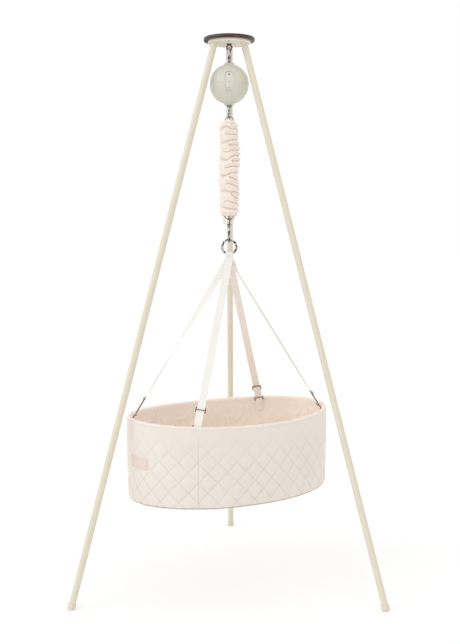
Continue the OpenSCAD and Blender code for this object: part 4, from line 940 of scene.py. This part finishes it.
def coverGrid():
    # rows run from the top of the outer face down, round the lower edge, under the base, and back up the
    # inner face
    a = wallAngles(cover["columns"], cover["seams"])
    run = runAt(a)
    out = wallOut(a)
    v = np.linspace(0, 1, cover["wallRows"])[:, None]
    edgeZ = baseZ + cradle["edge"]
    t = np.radians(np.linspace(*cover["lip"], 16))[:, None]
    thick = cover["lipThick"] * np.sqrt(np.clip(1 - ((t - t[-1]) / (t[0] - t[-1])) ** 8, 0, 1))
    rows = [rimPoint(a[None], t, rimSwell(a[None], t) * rim["underCloth"] + cover["proud"] + thick)]
    below = smoothStep(v / 0.02)
    wall = wallPoint(0.0002 * (1 - below) - cover["belly"] * np.sin(math.pi * v),
                     wallTop + (edgeZ - wallTop) * v, 1 - v, a[None])
    rows.append(wall + quilting(run[None], (wallTop - edgeZ) * v)[..., None] * out[None])
    bend = np.linspace(0, math.pi / 2, cover["edgeRows"])[1:, None]
    down = wallTop - edgeZ + cradle["edge"] * bend
    edge = wallPoint(cradle["edge"] * (1 - np.cos(bend)), baseZ + cradle["edge"] * (1 - np.sin(bend)), 0,
                     a[None])
    lean = np.cos(bend)[..., None] * out[None] - np.sin(bend)[..., None] * np.array([0, 0, 1.0])
    tuck = cover["hemTuck"] * np.exp(-((bend - 0.42) / 0.10) ** 2)
    rows.append(edge + (quilting(run[None], down) * (1 - 0.8 * bend / 1.57) - tuck)[..., None] * lean)
    inside = ((cradle["foot"], baseZ, 0), (cradle["foot"], baseZ + cradle["cover"], 0),
              (cradle["cover"] + cradle["curl"], baseZ + cradle["cover"], 0),
              (cradle["cover"], baseZ + cradle["edge"], 0),
              (cradle["cover"] - 0.001, (rimZ + baseZ) / 2, 0.5),
              (cradle["cover"], wallTop, 1))
    rows.append(np.stack([wallPoint(inset, z, share, a) for inset, z, share in inside]))
    rows.append(wallPoint(0.0018, wallTop, 1, a[None]))
    rows.append(rimPoint(a[None], t[::-1], rimSwell(a[None], t[::-1]) * rim["underCloth"] + cover["proud"]))
    grid = np.concatenate(rows)
    step = np.linalg.norm(np.diff(grid, axis=0), axis=2).mean(1)
    along = np.concatenate([[0], np.cumsum(step), [step.sum() + 0.002]])
    return grid, np.append(run, perimeter), along - along[len(t)]


def coverMesh():
    # its UVs run round the wall and down from the wall's top, as the quilting does
    grid, across, along = coverGrid()
    return gridMesh("outerCover", grid, wrapAlong=True, across=across, along=along)


outerCover = place("outerCover", coverMesh(), "cradle", quiltedCover, ["outer_cover"])


bottom = dict(rings=70, columns=360, puff=0.0011)


def bottomGrid():
    # the panel under the base: a low pillow inside the oval, quilted in squares, closed over its top
    a = evenAngles(bottom["columns"])
    share = np.linspace(0, 1, bottom["rings"])[:, None] ** 0.9
    edge = wallPoint(cradle["foot"] + cradle["gap"], baseZ, 0, a)[None]
    flat = edge * np.stack([share, share, share * 0 + 1], -1)
    x, y = flat[..., 0], flat[..., 1]
    across, along = x * turnCos + y * turnSin, y * turnCos - x * turnSin
    cell = cover["cellHeight"]
    lineP = np.abs(np.sin(math.pi * (across + along) / cell))
    lineQ = np.abs(np.sin(math.pi * (across - along) / cell))
    pillow = (lineP * lineQ) ** 0.5
    low = flat.copy()
    low[..., 2] = baseZ + 0.0012 - bottom["puff"] * pillow * smoothStep((1 - share) / 0.04)
    high = flat.copy()
    high[..., 2] = baseZ + cradle["cover"] - 0.0003
    return np.concatenate([low[1:], high[:0:-1]])


bottomPanel = placeGrid("bottomPanel", bottomGrid(), "cradle", "quilted_cotton", quiltedCotton,
                        ["bottom_panel"])


def stiffenerGrid():
    # the board in the wall: a plain closed band between the cover and the lining
    a = evenAngles(240)
    outside = cradle["cover"] + cradle["gap"]
    inside = outside + cradle["stiffener"]
    low = baseZ + cradle["cover"] + cradle["gap"] + cradle["board"]
    ring = ((outside, wallTop, 1), (outside, low, 0), (inside, low, 0), (inside, wallTop, 1))
    return np.stack([wallPoint(inset, z, share, a) for inset, z, share in ring])


placeGrid("wallStiffener", stiffenerGrid(), "cradle", "foam_board", feltBoard, ["wall_stiffener"], 40,
          wrapAlong=True)


def rimGrid():
    # the bound rim: a padded roll along the top of the wall
    a = wallAngles(cover["columns"], cover["seams"])[:, None]
    t = (np.arange(rim["sides"]) * tau / rim["sides"])[None]
    bare = smoothStep((np.sin(t) - 0.2) / 0.5)
    return rimPoint(a, t, rimSwell(a, t) * (0.3 + 0.7 * bare) + 0.0006 * bare)


rimRoll = placeGrid("rimRoll", rimGrid(), "cradle", "quilted_cotton", rimCotton, ["rim_roll"], wrapAlong=True)


rimStitch = dict(points=2400, angle=0.20, proud=0.0018, thread=0.22 * mm)


def rimStitchMesh():
    # the line of stitches that holds the cover's top edge to the roll, at one angle of the roll's section
    a = evenAngles(rimStitch["points"])
    t = np.full(len(a), rimStitch["angle"])
    path = rimPoint(a, t, rimSwell(a, t) * rim["underCloth"] + rimStitch["proud"])
    return stitchMesh("rimStitches", path, wallOut(a), thread=rimStitch["thread"], closed=True)


place("rimStitches", rimStitchMesh(), "cradle", threadCotton)


strap = dict(angles=(159, 230.5, 48.75, -19.5), folds=(0.061, 0.053, 0.043, 0.048), width=0.025,
             thickness=0.0016, barWire=0.0026, anchorLength=0.012, sliderLength=0.014, anchorDrop=0.011,
             twists=(1.0, 1.0, 1.0, 0.12), lean=(-14, 0, 0, 14), flap=0.016, flapGap=0.0004, seatGap=0.0014,
             tabLength=0.040, tabClose=0.013)
ringMiddle = Vector(((ringBox[0].x + ringBox[1].x) / 2, 0, (ringBox[0].z + ringBox[1].z) / 2))
ringWire = ringBox[1].y - ringBox[0].y
ringRadius = (ringBox[1].x - ringBox[0].x - ringWire) / 2
ringLow = ringMiddle.z - ringRadius
loopInner = ringWire / 2 + 0.0005
loopOuter = loopInner + strap["thickness"]
flapZ = ringLow - strap["flap"]
layerOff = strap["barWire"] / 2 + 0.0001 + strap["thickness"] / 2
besideLoop = loopOuter + strap["flapGap"] + strap["thickness"] / 2
besideMiddle = strap["flapGap"] + strap["thickness"] / 2
strapY = (-besideMiddle, -besideLoop, besideLoop, besideMiddle)
anchorWidth = strap["width"] + 2 * strap["barWire"] + 0.001
anchorBow = anchorWidth ** 2 * cradle["length"] / cradle["width"] ** 2 / 4
tabFold = layerOff + 0.0005
seatInset = 2 * rollRadius + strap["seatGap"] + strap["thickness"] / 2 + tabFold + anchorBow


def strapPlaces(k):
    # where strap k sits: its seat on the lining, the level directions along and out of the wall there, the
    # place it leaves the ring, its own direction, its width direction, its outward direction and its anchor
    # bar
    a = math.radians(strap["angles"][k])
    z = rimZ - strap["anchorDrop"] + cradle["saddle"] * math.cos(2 * a)
    seat = wallPoint(seatInset, z, 0, np.array(a))
    step = wallPoint(0, rimZ, 0, np.array(a + 0.0087)) - wallPoint(0, rimZ, 0, np.array(a - 0.0087))
    along = unit(step) * (-1 if step[0] < 0 else 1)
    out = np.array([along[1], -along[0], 0])
    out = -out if out @ seat < 0 else out
    leave = np.array([0, strapY[k], flapZ])
    ahead = unit(leave - seat)
    across = unit(along - (along @ ahead) * ahead)
    away = np.cross(across, ahead)
    away = -away if away @ out < 0 else away
    return dict(seat=seat, along=along, out=out, leave=leave, ahead=ahead, across=across, away=away,
                anchor=seat + strap["anchorLength"] * ahead)


spots = [strapPlaces(k) for k in range(4)]

liner = dict(columns=640, rows=64, fold=0.0024, pitch=0.034, crease=0.0008, topFold=0.0010, cloth=0.0007,
             proud=0.0009, besideTab=0.018, underTab=0.06)


def linerGrid():
    # the lining: it turns over the rim's inner half and hangs down as a loose band with soft upright folds on
    # its inner face, which fade at the top, at the mattress and beside the strap tabs
    a = evenAngles(liner["columns"])
    run = runAt(a)[None]
    turn = run / perimeter * tau
    outside = cradle["cover"] + cradle["stiffener"] + 2 * cradle["gap"]
    inside = outside + cradle["lining"]
    v = np.linspace(0, 1, liner["rows"])[:, None]
    z = wallTop + (mattressZ - wallTop) * v
    folds = np.sin(run / perimeter * round(perimeter / liner["pitch"]) * tau
                   + 2.2 * waves(turn, 3 * v, 51, across=(5, 30)))
    folds = (0.5 + 0.5 * folds) ** 1.6 * (0.55 + 0.45 * waves(turn, 5 * v, 53, across=(4, 24)))
    creases = (1 - np.abs(waves(turn, 7 * v, 55, across=(20, 90), count=30))) ** 4
    clear = smoothStep(v / 0.10) * (0.25 + 0.75 * smoothStep((1 - v) / 0.35))
    for k in range(4):
        gap = np.abs(roundGap(run, runAt(math.radians(strap["angles"][k]))))
        under = smoothStep((v * (wallTop - mattressZ) - liner["underTab"]) / 0.03)
        clear = clear * np.maximum(smoothStep((gap - liner["besideTab"]) / 0.02), under)
    depth = (liner["fold"] * folds + liner["crease"] * creases) * clear \
        + liner["topFold"] * (1 - smoothStep(v / 0.06))
    outer = wallPoint(outside, z, 1 - v, a[None])
    inner = wallPoint(inside, z, 1 - v, a[None]) - depth[..., None] * wallOut(a)[None]
    t = np.radians(np.linspace(*rim["lining"], 24))[:, None]
    thick = liner["cloth"] * np.sqrt(np.clip(1 - ((t - t[-1]) / (t[0] - t[-1])) ** 8, 0, 1))
    over = rimPoint(a[None], t, rimSwell(a[None], t) * rim["underCloth"] + liner["proud"])
    shown = rimPoint(a[None], t, rimSwell(a[None], t) * rim["underCloth"] + liner["proud"] + thick)
    step = wallPoint(inside + 0.0003, wallTop, 1, a[None])
    return np.concatenate([over, step, outer, inner[::-1], shown[::-1]])


linerPiece = placeGrid("linerBand", linerGrid(), "cradle", "lining_cotton", liningCotton, ["liner"],
                       wrapAlong=True)


def tapeGrid(path, across):
    # the webbing's outline carried along a path
    return carry(tapeProfile(strap["width"], strap["thickness"], 18), path, across)


def smoothPath(stops, values, count):
    # values at stops, followed by a curve with no corners, through count places: Catmull-Rom on the run
    run = runAlong(stops)
    t = np.linspace(0, run[-1], count)
    k = np.clip(np.searchsorted(run, t, side="right") - 1, 0, len(run) - 2)
    w = ((t - run[k]) / (run[k + 1] - run[k]))[:, None]
    slope = np.gradient(values, run, axis=0)
    step = (run[k + 1] - run[k])[:, None]
    return (2 * w ** 3 - 3 * w ** 2 + 1) * values[k] + (w ** 3 - 2 * w ** 2 + w) * step * slope[k] \
        + (3 * w ** 2 - 2 * w ** 3) * values[k + 1] + (w ** 3 - w ** 2) * step * slope[k + 1]


def strapRoute(k):
    # down from the ring, with a slow twist from the ring's line to the wall's, outside the slider and the
    # anchor bar, round that bar, back up behind and over the slider's middle bar; stops, width directions and
    # places come back
    spot, fold = spots[k], strap["folds"][k]
    run = np.linalg.norm(spot["leave"] - spot["anchor"])
    spread = run - fold - strap["sliderLength"] / 2 - strap["barWire"]
    s = np.linspace(0, run, 260)[:, None]
    down = spot["leave"] - s * spot["ahead"] \
        + layerOff * smoothStep((s - spread + 0.02) / 0.02) * spot["away"]
    a = np.radians(np.linspace(95, 270, 20))[:, None]
    around = spot["anchor"] + layerOff * (np.cos(a) * spot["ahead"] + np.sin(a) * spot["away"])
    u = np.linspace(0.004, fold - 0.002, 40)[:, None]
    back = spot["anchor"] + u * spot["ahead"] - layerOff * spot["away"]
    a = np.radians(np.linspace(-90, 0, 12))[:, None]
    over = spot["anchor"] + (fold + layerOff * np.cos(a)) * spot["ahead"] \
        + layerOff * np.sin(a) * spot["away"]
    top = np.array([[0, strapY[k], ringLow - ringWire / 2 - 0.002]])
    path = np.concatenate([top, down, around, back, over])
    twisted = smoothStep(s[:, 0] / (strap["twists"][k] * (run - fold - 0.03)))
    share = np.concatenate([[0], twisted, np.ones(72)])[:, None]
    across = unit((1 - share) * np.array([1.0, 0, 0]) + share * spot["across"])
    bowed = np.sin(math.pi * np.clip(s[:, 0] / spread, 0, 1)) ** 0.5
    free = np.concatenate([[0], bowed, np.zeros(72)])[:, None]
    turn = math.radians(strap["lean"][k]) * free
    across = across * np.cos(turn) + np.cross(spot["ahead"], across) * np.sin(turn)
    turned = np.concatenate([np.zeros(len(s) + 11, bool), np.ones(61, bool)])
    return path, across, turned != (k == 2)


for k, name in enumerate(("strapLeft", "strapFront", "strapBack", "strapRight")):
    path, across, turned = strapRoute(k)
    node = ("strap_left", "strap_front", "strap_back", "strap_right")[k]
    placeGrid(name, tapeGrid(path, across), "cradle", "white_webbing" if k == 1 else "blush_webbing",
              twoSidedWebbing, [node], slide=turned * strap["width"])


def loopGrid():
    # the webbing loop: up the front flap, over the ring's wire in half a circle, and down the back flap, bent
    # along the ring as it goes over; columns run across the webbing and rows along it
    half = math.asin(strap["width"] / 2 / ringRadius)
    w = np.linspace(-1, 1, 19)[None]
    bend = -math.pi / 2 + half * w
    edge = (1 - np.abs(w) ** 14) ** 0.5 * 0.9 + 0.1

    def layer(r):
        t = np.linspace(0, math.pi, 33)[:, None]
        reach = ringRadius - r * np.sin(t)
        z = ringMiddle.z + reach * np.sin(bend)
        saddle = np.stack(np.broadcast_arrays(reach * np.cos(bend), r * np.cos(t), z), -1)
        down = np.linspace(0, 1, 14)[1:, None]
        top = ringMiddle.z + ringRadius * np.sin(bend)
        z = top + (flapZ - top) * down
        flapLow = np.stack(np.broadcast_arrays(ringRadius * np.cos(bend), r + 0 * down, z), -1)
        other = flapLow.copy()
        other[..., 1] *= -1
        return np.concatenate([flapLow[::-1], saddle, other])

    middle = (loopInner + loopOuter) / 2
    half = strap["thickness"] / 2 * 0.98
    outer, inner = layer(middle + half), layer(middle - half)
    centre = (outer + inner) / 2
    outer = centre + (outer - centre) * edge[..., None]
    inner = centre + (inner - centre) * edge[..., None]
    return np.concatenate([outer, inner[:, ::-1]], 1)


def wireGrid(stops, radius, side, count=60, sides=10):
    # a round wire along a smooth curve through the stops
    path = smoothPath(stops, stops, count)
    return carry(circle(radius, sides), path, np.broadcast_to(side, path.shape))


clasp = dict(wire=0.0012, rail=0.0113, halfWidth=0.0150, bridge=0.0047, lower=0.006)


def claspGrids():
    # copper wires that make each slider one long clasp: two rails between the strap's layers from the slider
    # down to the anchor loop, a bridge over the strap's outer side at the slider, and one over its inner side
    # at the loop
    made = []
    for spot, fold in zip(spots, strap["folds"]):
        origin = np.stack([spot["across"], spot["ahead"], spot["away"]])
        w, h = clasp["halfWidth"], clasp["bridge"]
        low, high = clasp["lower"], fold - strap["sliderLength"] / 2 - strap["barWire"] / 2 - clasp["wire"]
        for way in (-1, 1):
            rail = np.array([[way * clasp["rail"], low + (high - low) * s, 0] for s in (0, 0.3, 0.6, 1)])
            made.append(wireGrid(spot["anchor"] + rail @ origin, clasp["wire"], spot["away"], 12))
        for along, off in ((fold, h), (0.001, -h)):
            bend = ((-w, 0.5 * off), (-w, 0.8 * off), (-w + 0.002, off), (-w / 2, off), (0, off),
                    (w / 2, off), (w - 0.002, off), (w, 0.8 * off), (w, 0.5 * off))
            stops = np.array([[x, along, y] for x, y in bend])
            made.append(wireGrid(spot["anchor"] + stops @ origin, clasp["wire"], spot["ahead"]))
    return made


place("strapClasps", joinGrids("strapClasps", claspGrids()), "cradle", antiqueCopper)
placeGrid("strapLoop", loopGrid(), "cradle", "white_webbing", whiteWebbing, ["strap_loop"])


def tabGrids():
    # a tab of webbing rises from the lining, turns over the anchor loop's lower bar, and is sewn back to
    # itself
    lean = cradle["taper"] / cradleHeight
    back = tabFold - strap["thickness"] - 0.0004
    close, length = strap["tabClose"], strap["tabLength"]
    a = np.linspace(0, math.pi, 9)
    route = np.concatenate([
        [[tabFold - lean * length, -length], [tabFold - lean * 0.6 * length, -0.6 * length],
         [tabFold - lean * close, -close], [tabFold, -0.004]],
        tabFold * np.stack([np.cos(a), np.sin(a)], -1),
        [[-tabFold, -0.004], [back - lean * close, -close], [back - lean * 0.5 * length, -0.5 * length]]])
    made = []
    for spot in spots:
        stops = spot["seat"] + route[:, :1] * spot["out"] + route[:, 1:] * np.array([0, 0, 1.0])
        share = smoothStep((route[:, 1:] + close) / 0.008)
        across = (1 - share) * spot["along"] + share * spot["across"]
        path = smoothPath(stops, stops, 90)
        made.append(tapeGrid(path, smoothPath(stops, across, 90)))
    return made


place("anchorTabs", joinGrids("anchorTabs", tabGrids()), "cradle", liningCotton,
      ["anchor_tabs"])
print("straps made")


def boxStitches(name, centre, across, along, away, width, height):
    # a rectangle of stitches with a cross in it, as on a sewn webbing end
    corners = [(-1, -1), (1, -1), (1, 1), (-1, 1), (-1, -1), (1, 1), (1, -1), (-1, 1)]
    stops = np.array([centre + x * width / 2 * across + y * height / 2 * along for x, y in corners])
    parts = []
    for one, two in zip(stops[:-1], stops[1:]):
        t = np.linspace(0, 1, 30)[:, None]
        line = one + (two - one) * t
        parts.append(stitchMesh(name, line, np.broadcast_to(away, line.shape), 2.4 * mm, 0.9 * mm, 0.26 * mm))
    return parts


tabBox = dict(width=0.019, height=0.005, drop=0.0165)
stitches = []
for spot in spots:
    inner = tabFold - strap["thickness"] - 0.0004 - strap["thickness"] / 2 - 0.0001
    upwards = np.array([0, 0, 1.0])
    centre = spot["seat"] + inner * spot["out"] - tabBox["drop"] * upwards
    stitches += boxStitches("tabBox", centre, spot["along"], upwards, -spot["out"], tabBox["width"],
                            tabBox["height"])
place("tabStitches", mergeMeshes("tabStitches", stitches), "cradle", threadCotton)


def labelGrid():
    # a bare sewn patch that follows the wall: a thin slab with round corners and a slightly pillowed face
    s = np.linspace(-1, 1, 61)[:, None]
    a = np.interp(labelSpot + s * label["length"] / 2, fineRun, fineAngles)
    corner = label["corner"]
    turned = np.clip(np.abs(s) - (1 - corner), 0, None) / corner
    edge = np.sqrt(np.clip(1 - turned ** 2, 0, 1)) * corner + (1 - corner)
    w = np.sin(np.linspace(-math.pi / 2, math.pi / 2, 31))[None]
    z = baseZ + label["lift"] + w * edge * label["height"] / 2
    reach = np.maximum(np.abs(s), np.abs(w))
    lift = label["proud"] + label["thickness"] * (1 - reach ** 16) ** 0.5 \
        - 0.0003 * np.exp(-((1 - reach) * 30 - 1.8) ** 2)
    front = wallPoint(-lift, z, 0.5, a)
    rear = wallPoint(-label["under"], z, 0.5, a + 0 * z)
    return np.concatenate([front, rear[:, ::-1][:, 1:-1]], 1)


placeGrid("labelPatch", labelGrid(), "cradle", "lining_cotton", labelCotton, ["label_patch"])


def labelStitchMesh():
    # stitches all round the patch, a little inside its edge
    x, y, n = label["length"] / 2 - label["stitchIn"], label["height"] / 2 - label["stitchIn"], 40
    t = np.linspace(-1, 1, n)
    s = np.concatenate([t * x, np.full(n, x), -t * x, np.full(n, -x)])
    v = np.concatenate([np.full(n, -y), t * y, np.full(n, y), -t * y])
    a = np.interp(labelSpot + s, fineRun, fineAngles)
    path = wallPoint(-label["proud"] - label["thickness"] + 0.0002, baseZ + label["lift"] + v, 0.5, a)
    return stitchMesh("labelStitches", path, wallOut(a), 2.6 * mm, 1.2 * mm, 0.3 * mm)


place("labelStitches", labelStitchMesh(), "cradle", threadCotton)

mattress = dict(gap=0.002, columns=220, thick=0.042, shrink=0.004, voxel=0.006, pressure=4.0, frames=20,
                cap=0.006)
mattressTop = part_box("mattress")[1].z


def mattressGrid():
    # a crowned pad: its side draws in by a sine between its top and bottom edges, and its top rises to the
    # middle by a power of a cosine
    a = evenAngles(mattress["columns"])[None]
    edge = cradle["cover"] + cradle["stiffener"] + 2 * cradle["gap"] + cradle["lining"] + mattress["gap"] \
        + mattress["shrink"]
    thick = mattress["thick"]
    crown = mattressTop - mattressZ - thick
    rows = []
    top = np.linspace(0.02, 1, 44)[:, None]
    rise = mattressZ + thick - 0.003 + (crown + 0.003) * np.cos(top * math.pi / 2) ** 0.7
    outline = wallPoint(edge, mattressZ + thick, 0, a)
    rows.append(np.stack([outline[..., 0] * top, outline[..., 1] * top, rise + 0 * a], -1))
    side = np.linspace(0, 1, 16)[1:, None]
    rows.append(wallPoint(edge + 0.004 * np.sin(math.pi * side),
                          mattressZ + thick - 0.003 - (thick - 0.006) * side, 0, a))
    low = np.linspace(1, 0.02, 24)[1:, None]
    under = wallPoint(edge, mattressZ + 0.003, 0, a)
    floor = mattressZ + 0.0005 + 0.0025 * low ** 12 + 0 * a
    rows.append(np.stack([under[..., 0] * low, under[..., 1] * low, floor], -1))
    return np.concatenate(rows)


def swellPad(piece):
    # blow the pad up as cloth in zero gravity, and keep each point within the cap of where it was and inside
    # the box that the mattress has
    scene = bpy.context.scene
    bpy.context.view_layer.objects.active = piece
    remesh = piece.modifiers.new("remesh", "REMESH")
    remesh.mode, remesh.voxel_size = "VOXEL", mattress["voxel"]
    bpy.ops.object.modifier_apply(modifier=remesh.name)
    count = len(piece.data.vertices)
    before = np.empty(count * 3, np.float32)
    piece.data.vertices.foreach_get("co", before)
    cloth = piece.modifiers.new("pad", "CLOTH")
    cloth.settings.use_pressure = True
    cloth.settings.uniform_pressure_force = mattress["pressure"]
    cloth.settings.effector_weights.gravity = 0.0
    cloth.point_cache.frame_start, cloth.point_cache.frame_end = 1, mattress["frames"]
    for step in range(1, mattress["frames"] + 1):
        scene.frame_set(step)
    swollen = piece.evaluated_get(bpy.context.evaluated_depsgraph_get())
    after = np.empty(count * 3, np.float32)
    swollen.data.vertices.foreach_get("co", after)
    piece.modifiers.remove(cloth)
    scene.frame_set(1)
    start, end = before.reshape(-1, 3), after.reshape(-1, 3)
    move = end - start
    size = np.linalg.norm(move, axis=1, keepdims=True)
    points = start + move * np.minimum(1, mattress["cap"] / np.maximum(size, 1e-9))
    low, high = np.array(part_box("mattress")[0]), np.array(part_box("mattress")[1])
    points = np.clip(points, low + 0.0005, high)
    piece.data.vertices.foreach_set("co", points.astype(np.float32).ravel())
    piece.data.update()
    piece.data.shade_smooth()


mattressPiece = placeGrid("mattressPad", mattressGrid(), "cradle", "mattress_cotton", mattressCotton,
                          ["mattress"])
swellPad(mattressPiece)
print("cradle made")


studio = dict(floorSize=60.0, floorGlow=0.42, floorTone="#cacaca", paperTone="#f0f0f0", worldLight=0.975,
              keyLight=0.165, keyAngle=11, keysFrom=((-3.0, -0.4, 1.6), (-3.0, -1.3, 1.7), (-2.6, -2.4, 2.0)))


def makeFloor():
    mesh = bpy.data.meshes.new("floor")
    h = studio["floorSize"] / 2
    mesh.from_pydata([(-h, -h, 0), (h, -h, 0), (h, h, 0), (-h, h, 0)], [], [(0, 1, 2, 3)])
    floor = bpy.data.objects.new("floor", mesh)
    bpy.context.scene.collection.objects.link(floor)
    material = bpy.data.materials.new("paperFloor")
    material.use_nodes = True
    tree = material.node_tree
    tree.nodes.clear()
    light = add(tree, "LightPath")
    seen = calc(tree, "MAXIMUM", light.outputs["Is Camera Ray"], light.outputs["Is Glossy Ray"])
    glow = calc(tree, "MULTIPLY", seen, studio["floorGlow"])
    shine = add(tree, "Emission", {"Color": (1, 1, 1, 1), "Strength": glow})
    tone = mixColours(tree, seen, paint(studio["paperTone"]), paint(studio["floorTone"]))
    paper = add(tree, "BsdfDiffuse", {"Color": tone})
    both = add(tree, "AddShader", {0: shine.outputs["Emission"], 1: paper.outputs["BSDF"]})
    add(tree, "OutputMaterial", {"Surface": both.outputs["Shader"]})
    mesh.materials.append(material)


def makeWorld():
    world = bpy.data.worlds.new("studio")
    bpy.context.scene.world = world
    world.use_nodes = True
    tree = world.node_tree
    tree.nodes.clear()
    light = add(tree, "LightPath")
    seen = calc(tree, "MAXIMUM", light.outputs["Is Camera Ray"], light.outputs["Is Glossy Ray"])
    seen = calc(tree, "MAXIMUM", seen, light.outputs["Is Transmission Ray"])
    level = mapRange(tree, seen, 0.0, 1.0, studio["worldLight"], 1.0)
    sky = add(tree, "Background", {"Color": (1, 1, 1, 1), "Strength": level})
    add(tree, "OutputWorld", {"Surface": sky.outputs["Background"]})


def makeKeys():
    # three distant lamps side by side at the left, so that the floor is lit evenly and each foot throws a
    # soft fan
    for k, spot in enumerate(studio["keysFrom"]):
        data = bpy.data.lights.new("keyLamp" + str(k), "SUN")
        data.energy, data.angle = studio["keyLight"], math.radians(studio["keyAngle"])
        lamp = bpy.data.objects.new(data.name, data)
        bpy.context.scene.collection.objects.link(lamp)
        lamp.location = Vector(spot)
        lamp.rotation_euler = lamp.location.to_track_quat("Z", "Y").to_euler()


makeFloor()
makeWorld()
makeKeys()


def makeFlag(name, middle, wide, high, turn):
    # a black card that only reflections see, so that polished metal shows dark patches beside bright ones
    mesh = bpy.data.meshes.new(name)
    x, z = wide / 2, high / 2
    mesh.from_pydata([(-x, 0, -z), (x, 0, -z), (x, 0, z), (-x, 0, z)], [], [(0, 1, 2, 3)])
    flag = bpy.data.objects.new(name, mesh)
    bpy.context.scene.collection.objects.link(flag)
    flag.location, flag.rotation_euler = Vector(middle), (0, 0, math.radians(turn))
    material = bpy.data.materials.new("blackCard")
    material.use_nodes = True
    material.node_tree.nodes["Principled BSDF"].inputs["Base Color"].default_value = paint("#0c0c0d")
    mesh.materials.append(material)
    flag.visible_camera = flag.visible_diffuse = flag.visible_shadow = flag.visible_transmission = False


makeFlag("flagLeft", (-2.2, -1.4, 1.4), 1.3, 2.6, 60)
makeFlag("flagRight", (2.4, -1.0, 1.2), 1.2, 2.4, -65)
makeFlag("flagFront", (0.9, -5.2, 1.5), 1.4, 2.2, 8)
makeFlag("flagBack", (-0.8, 3.4, 1.4), 1.6, 2.6, 0)

bpy.context.scene.view_settings.view_transform = "Standard"

print("scene ready")
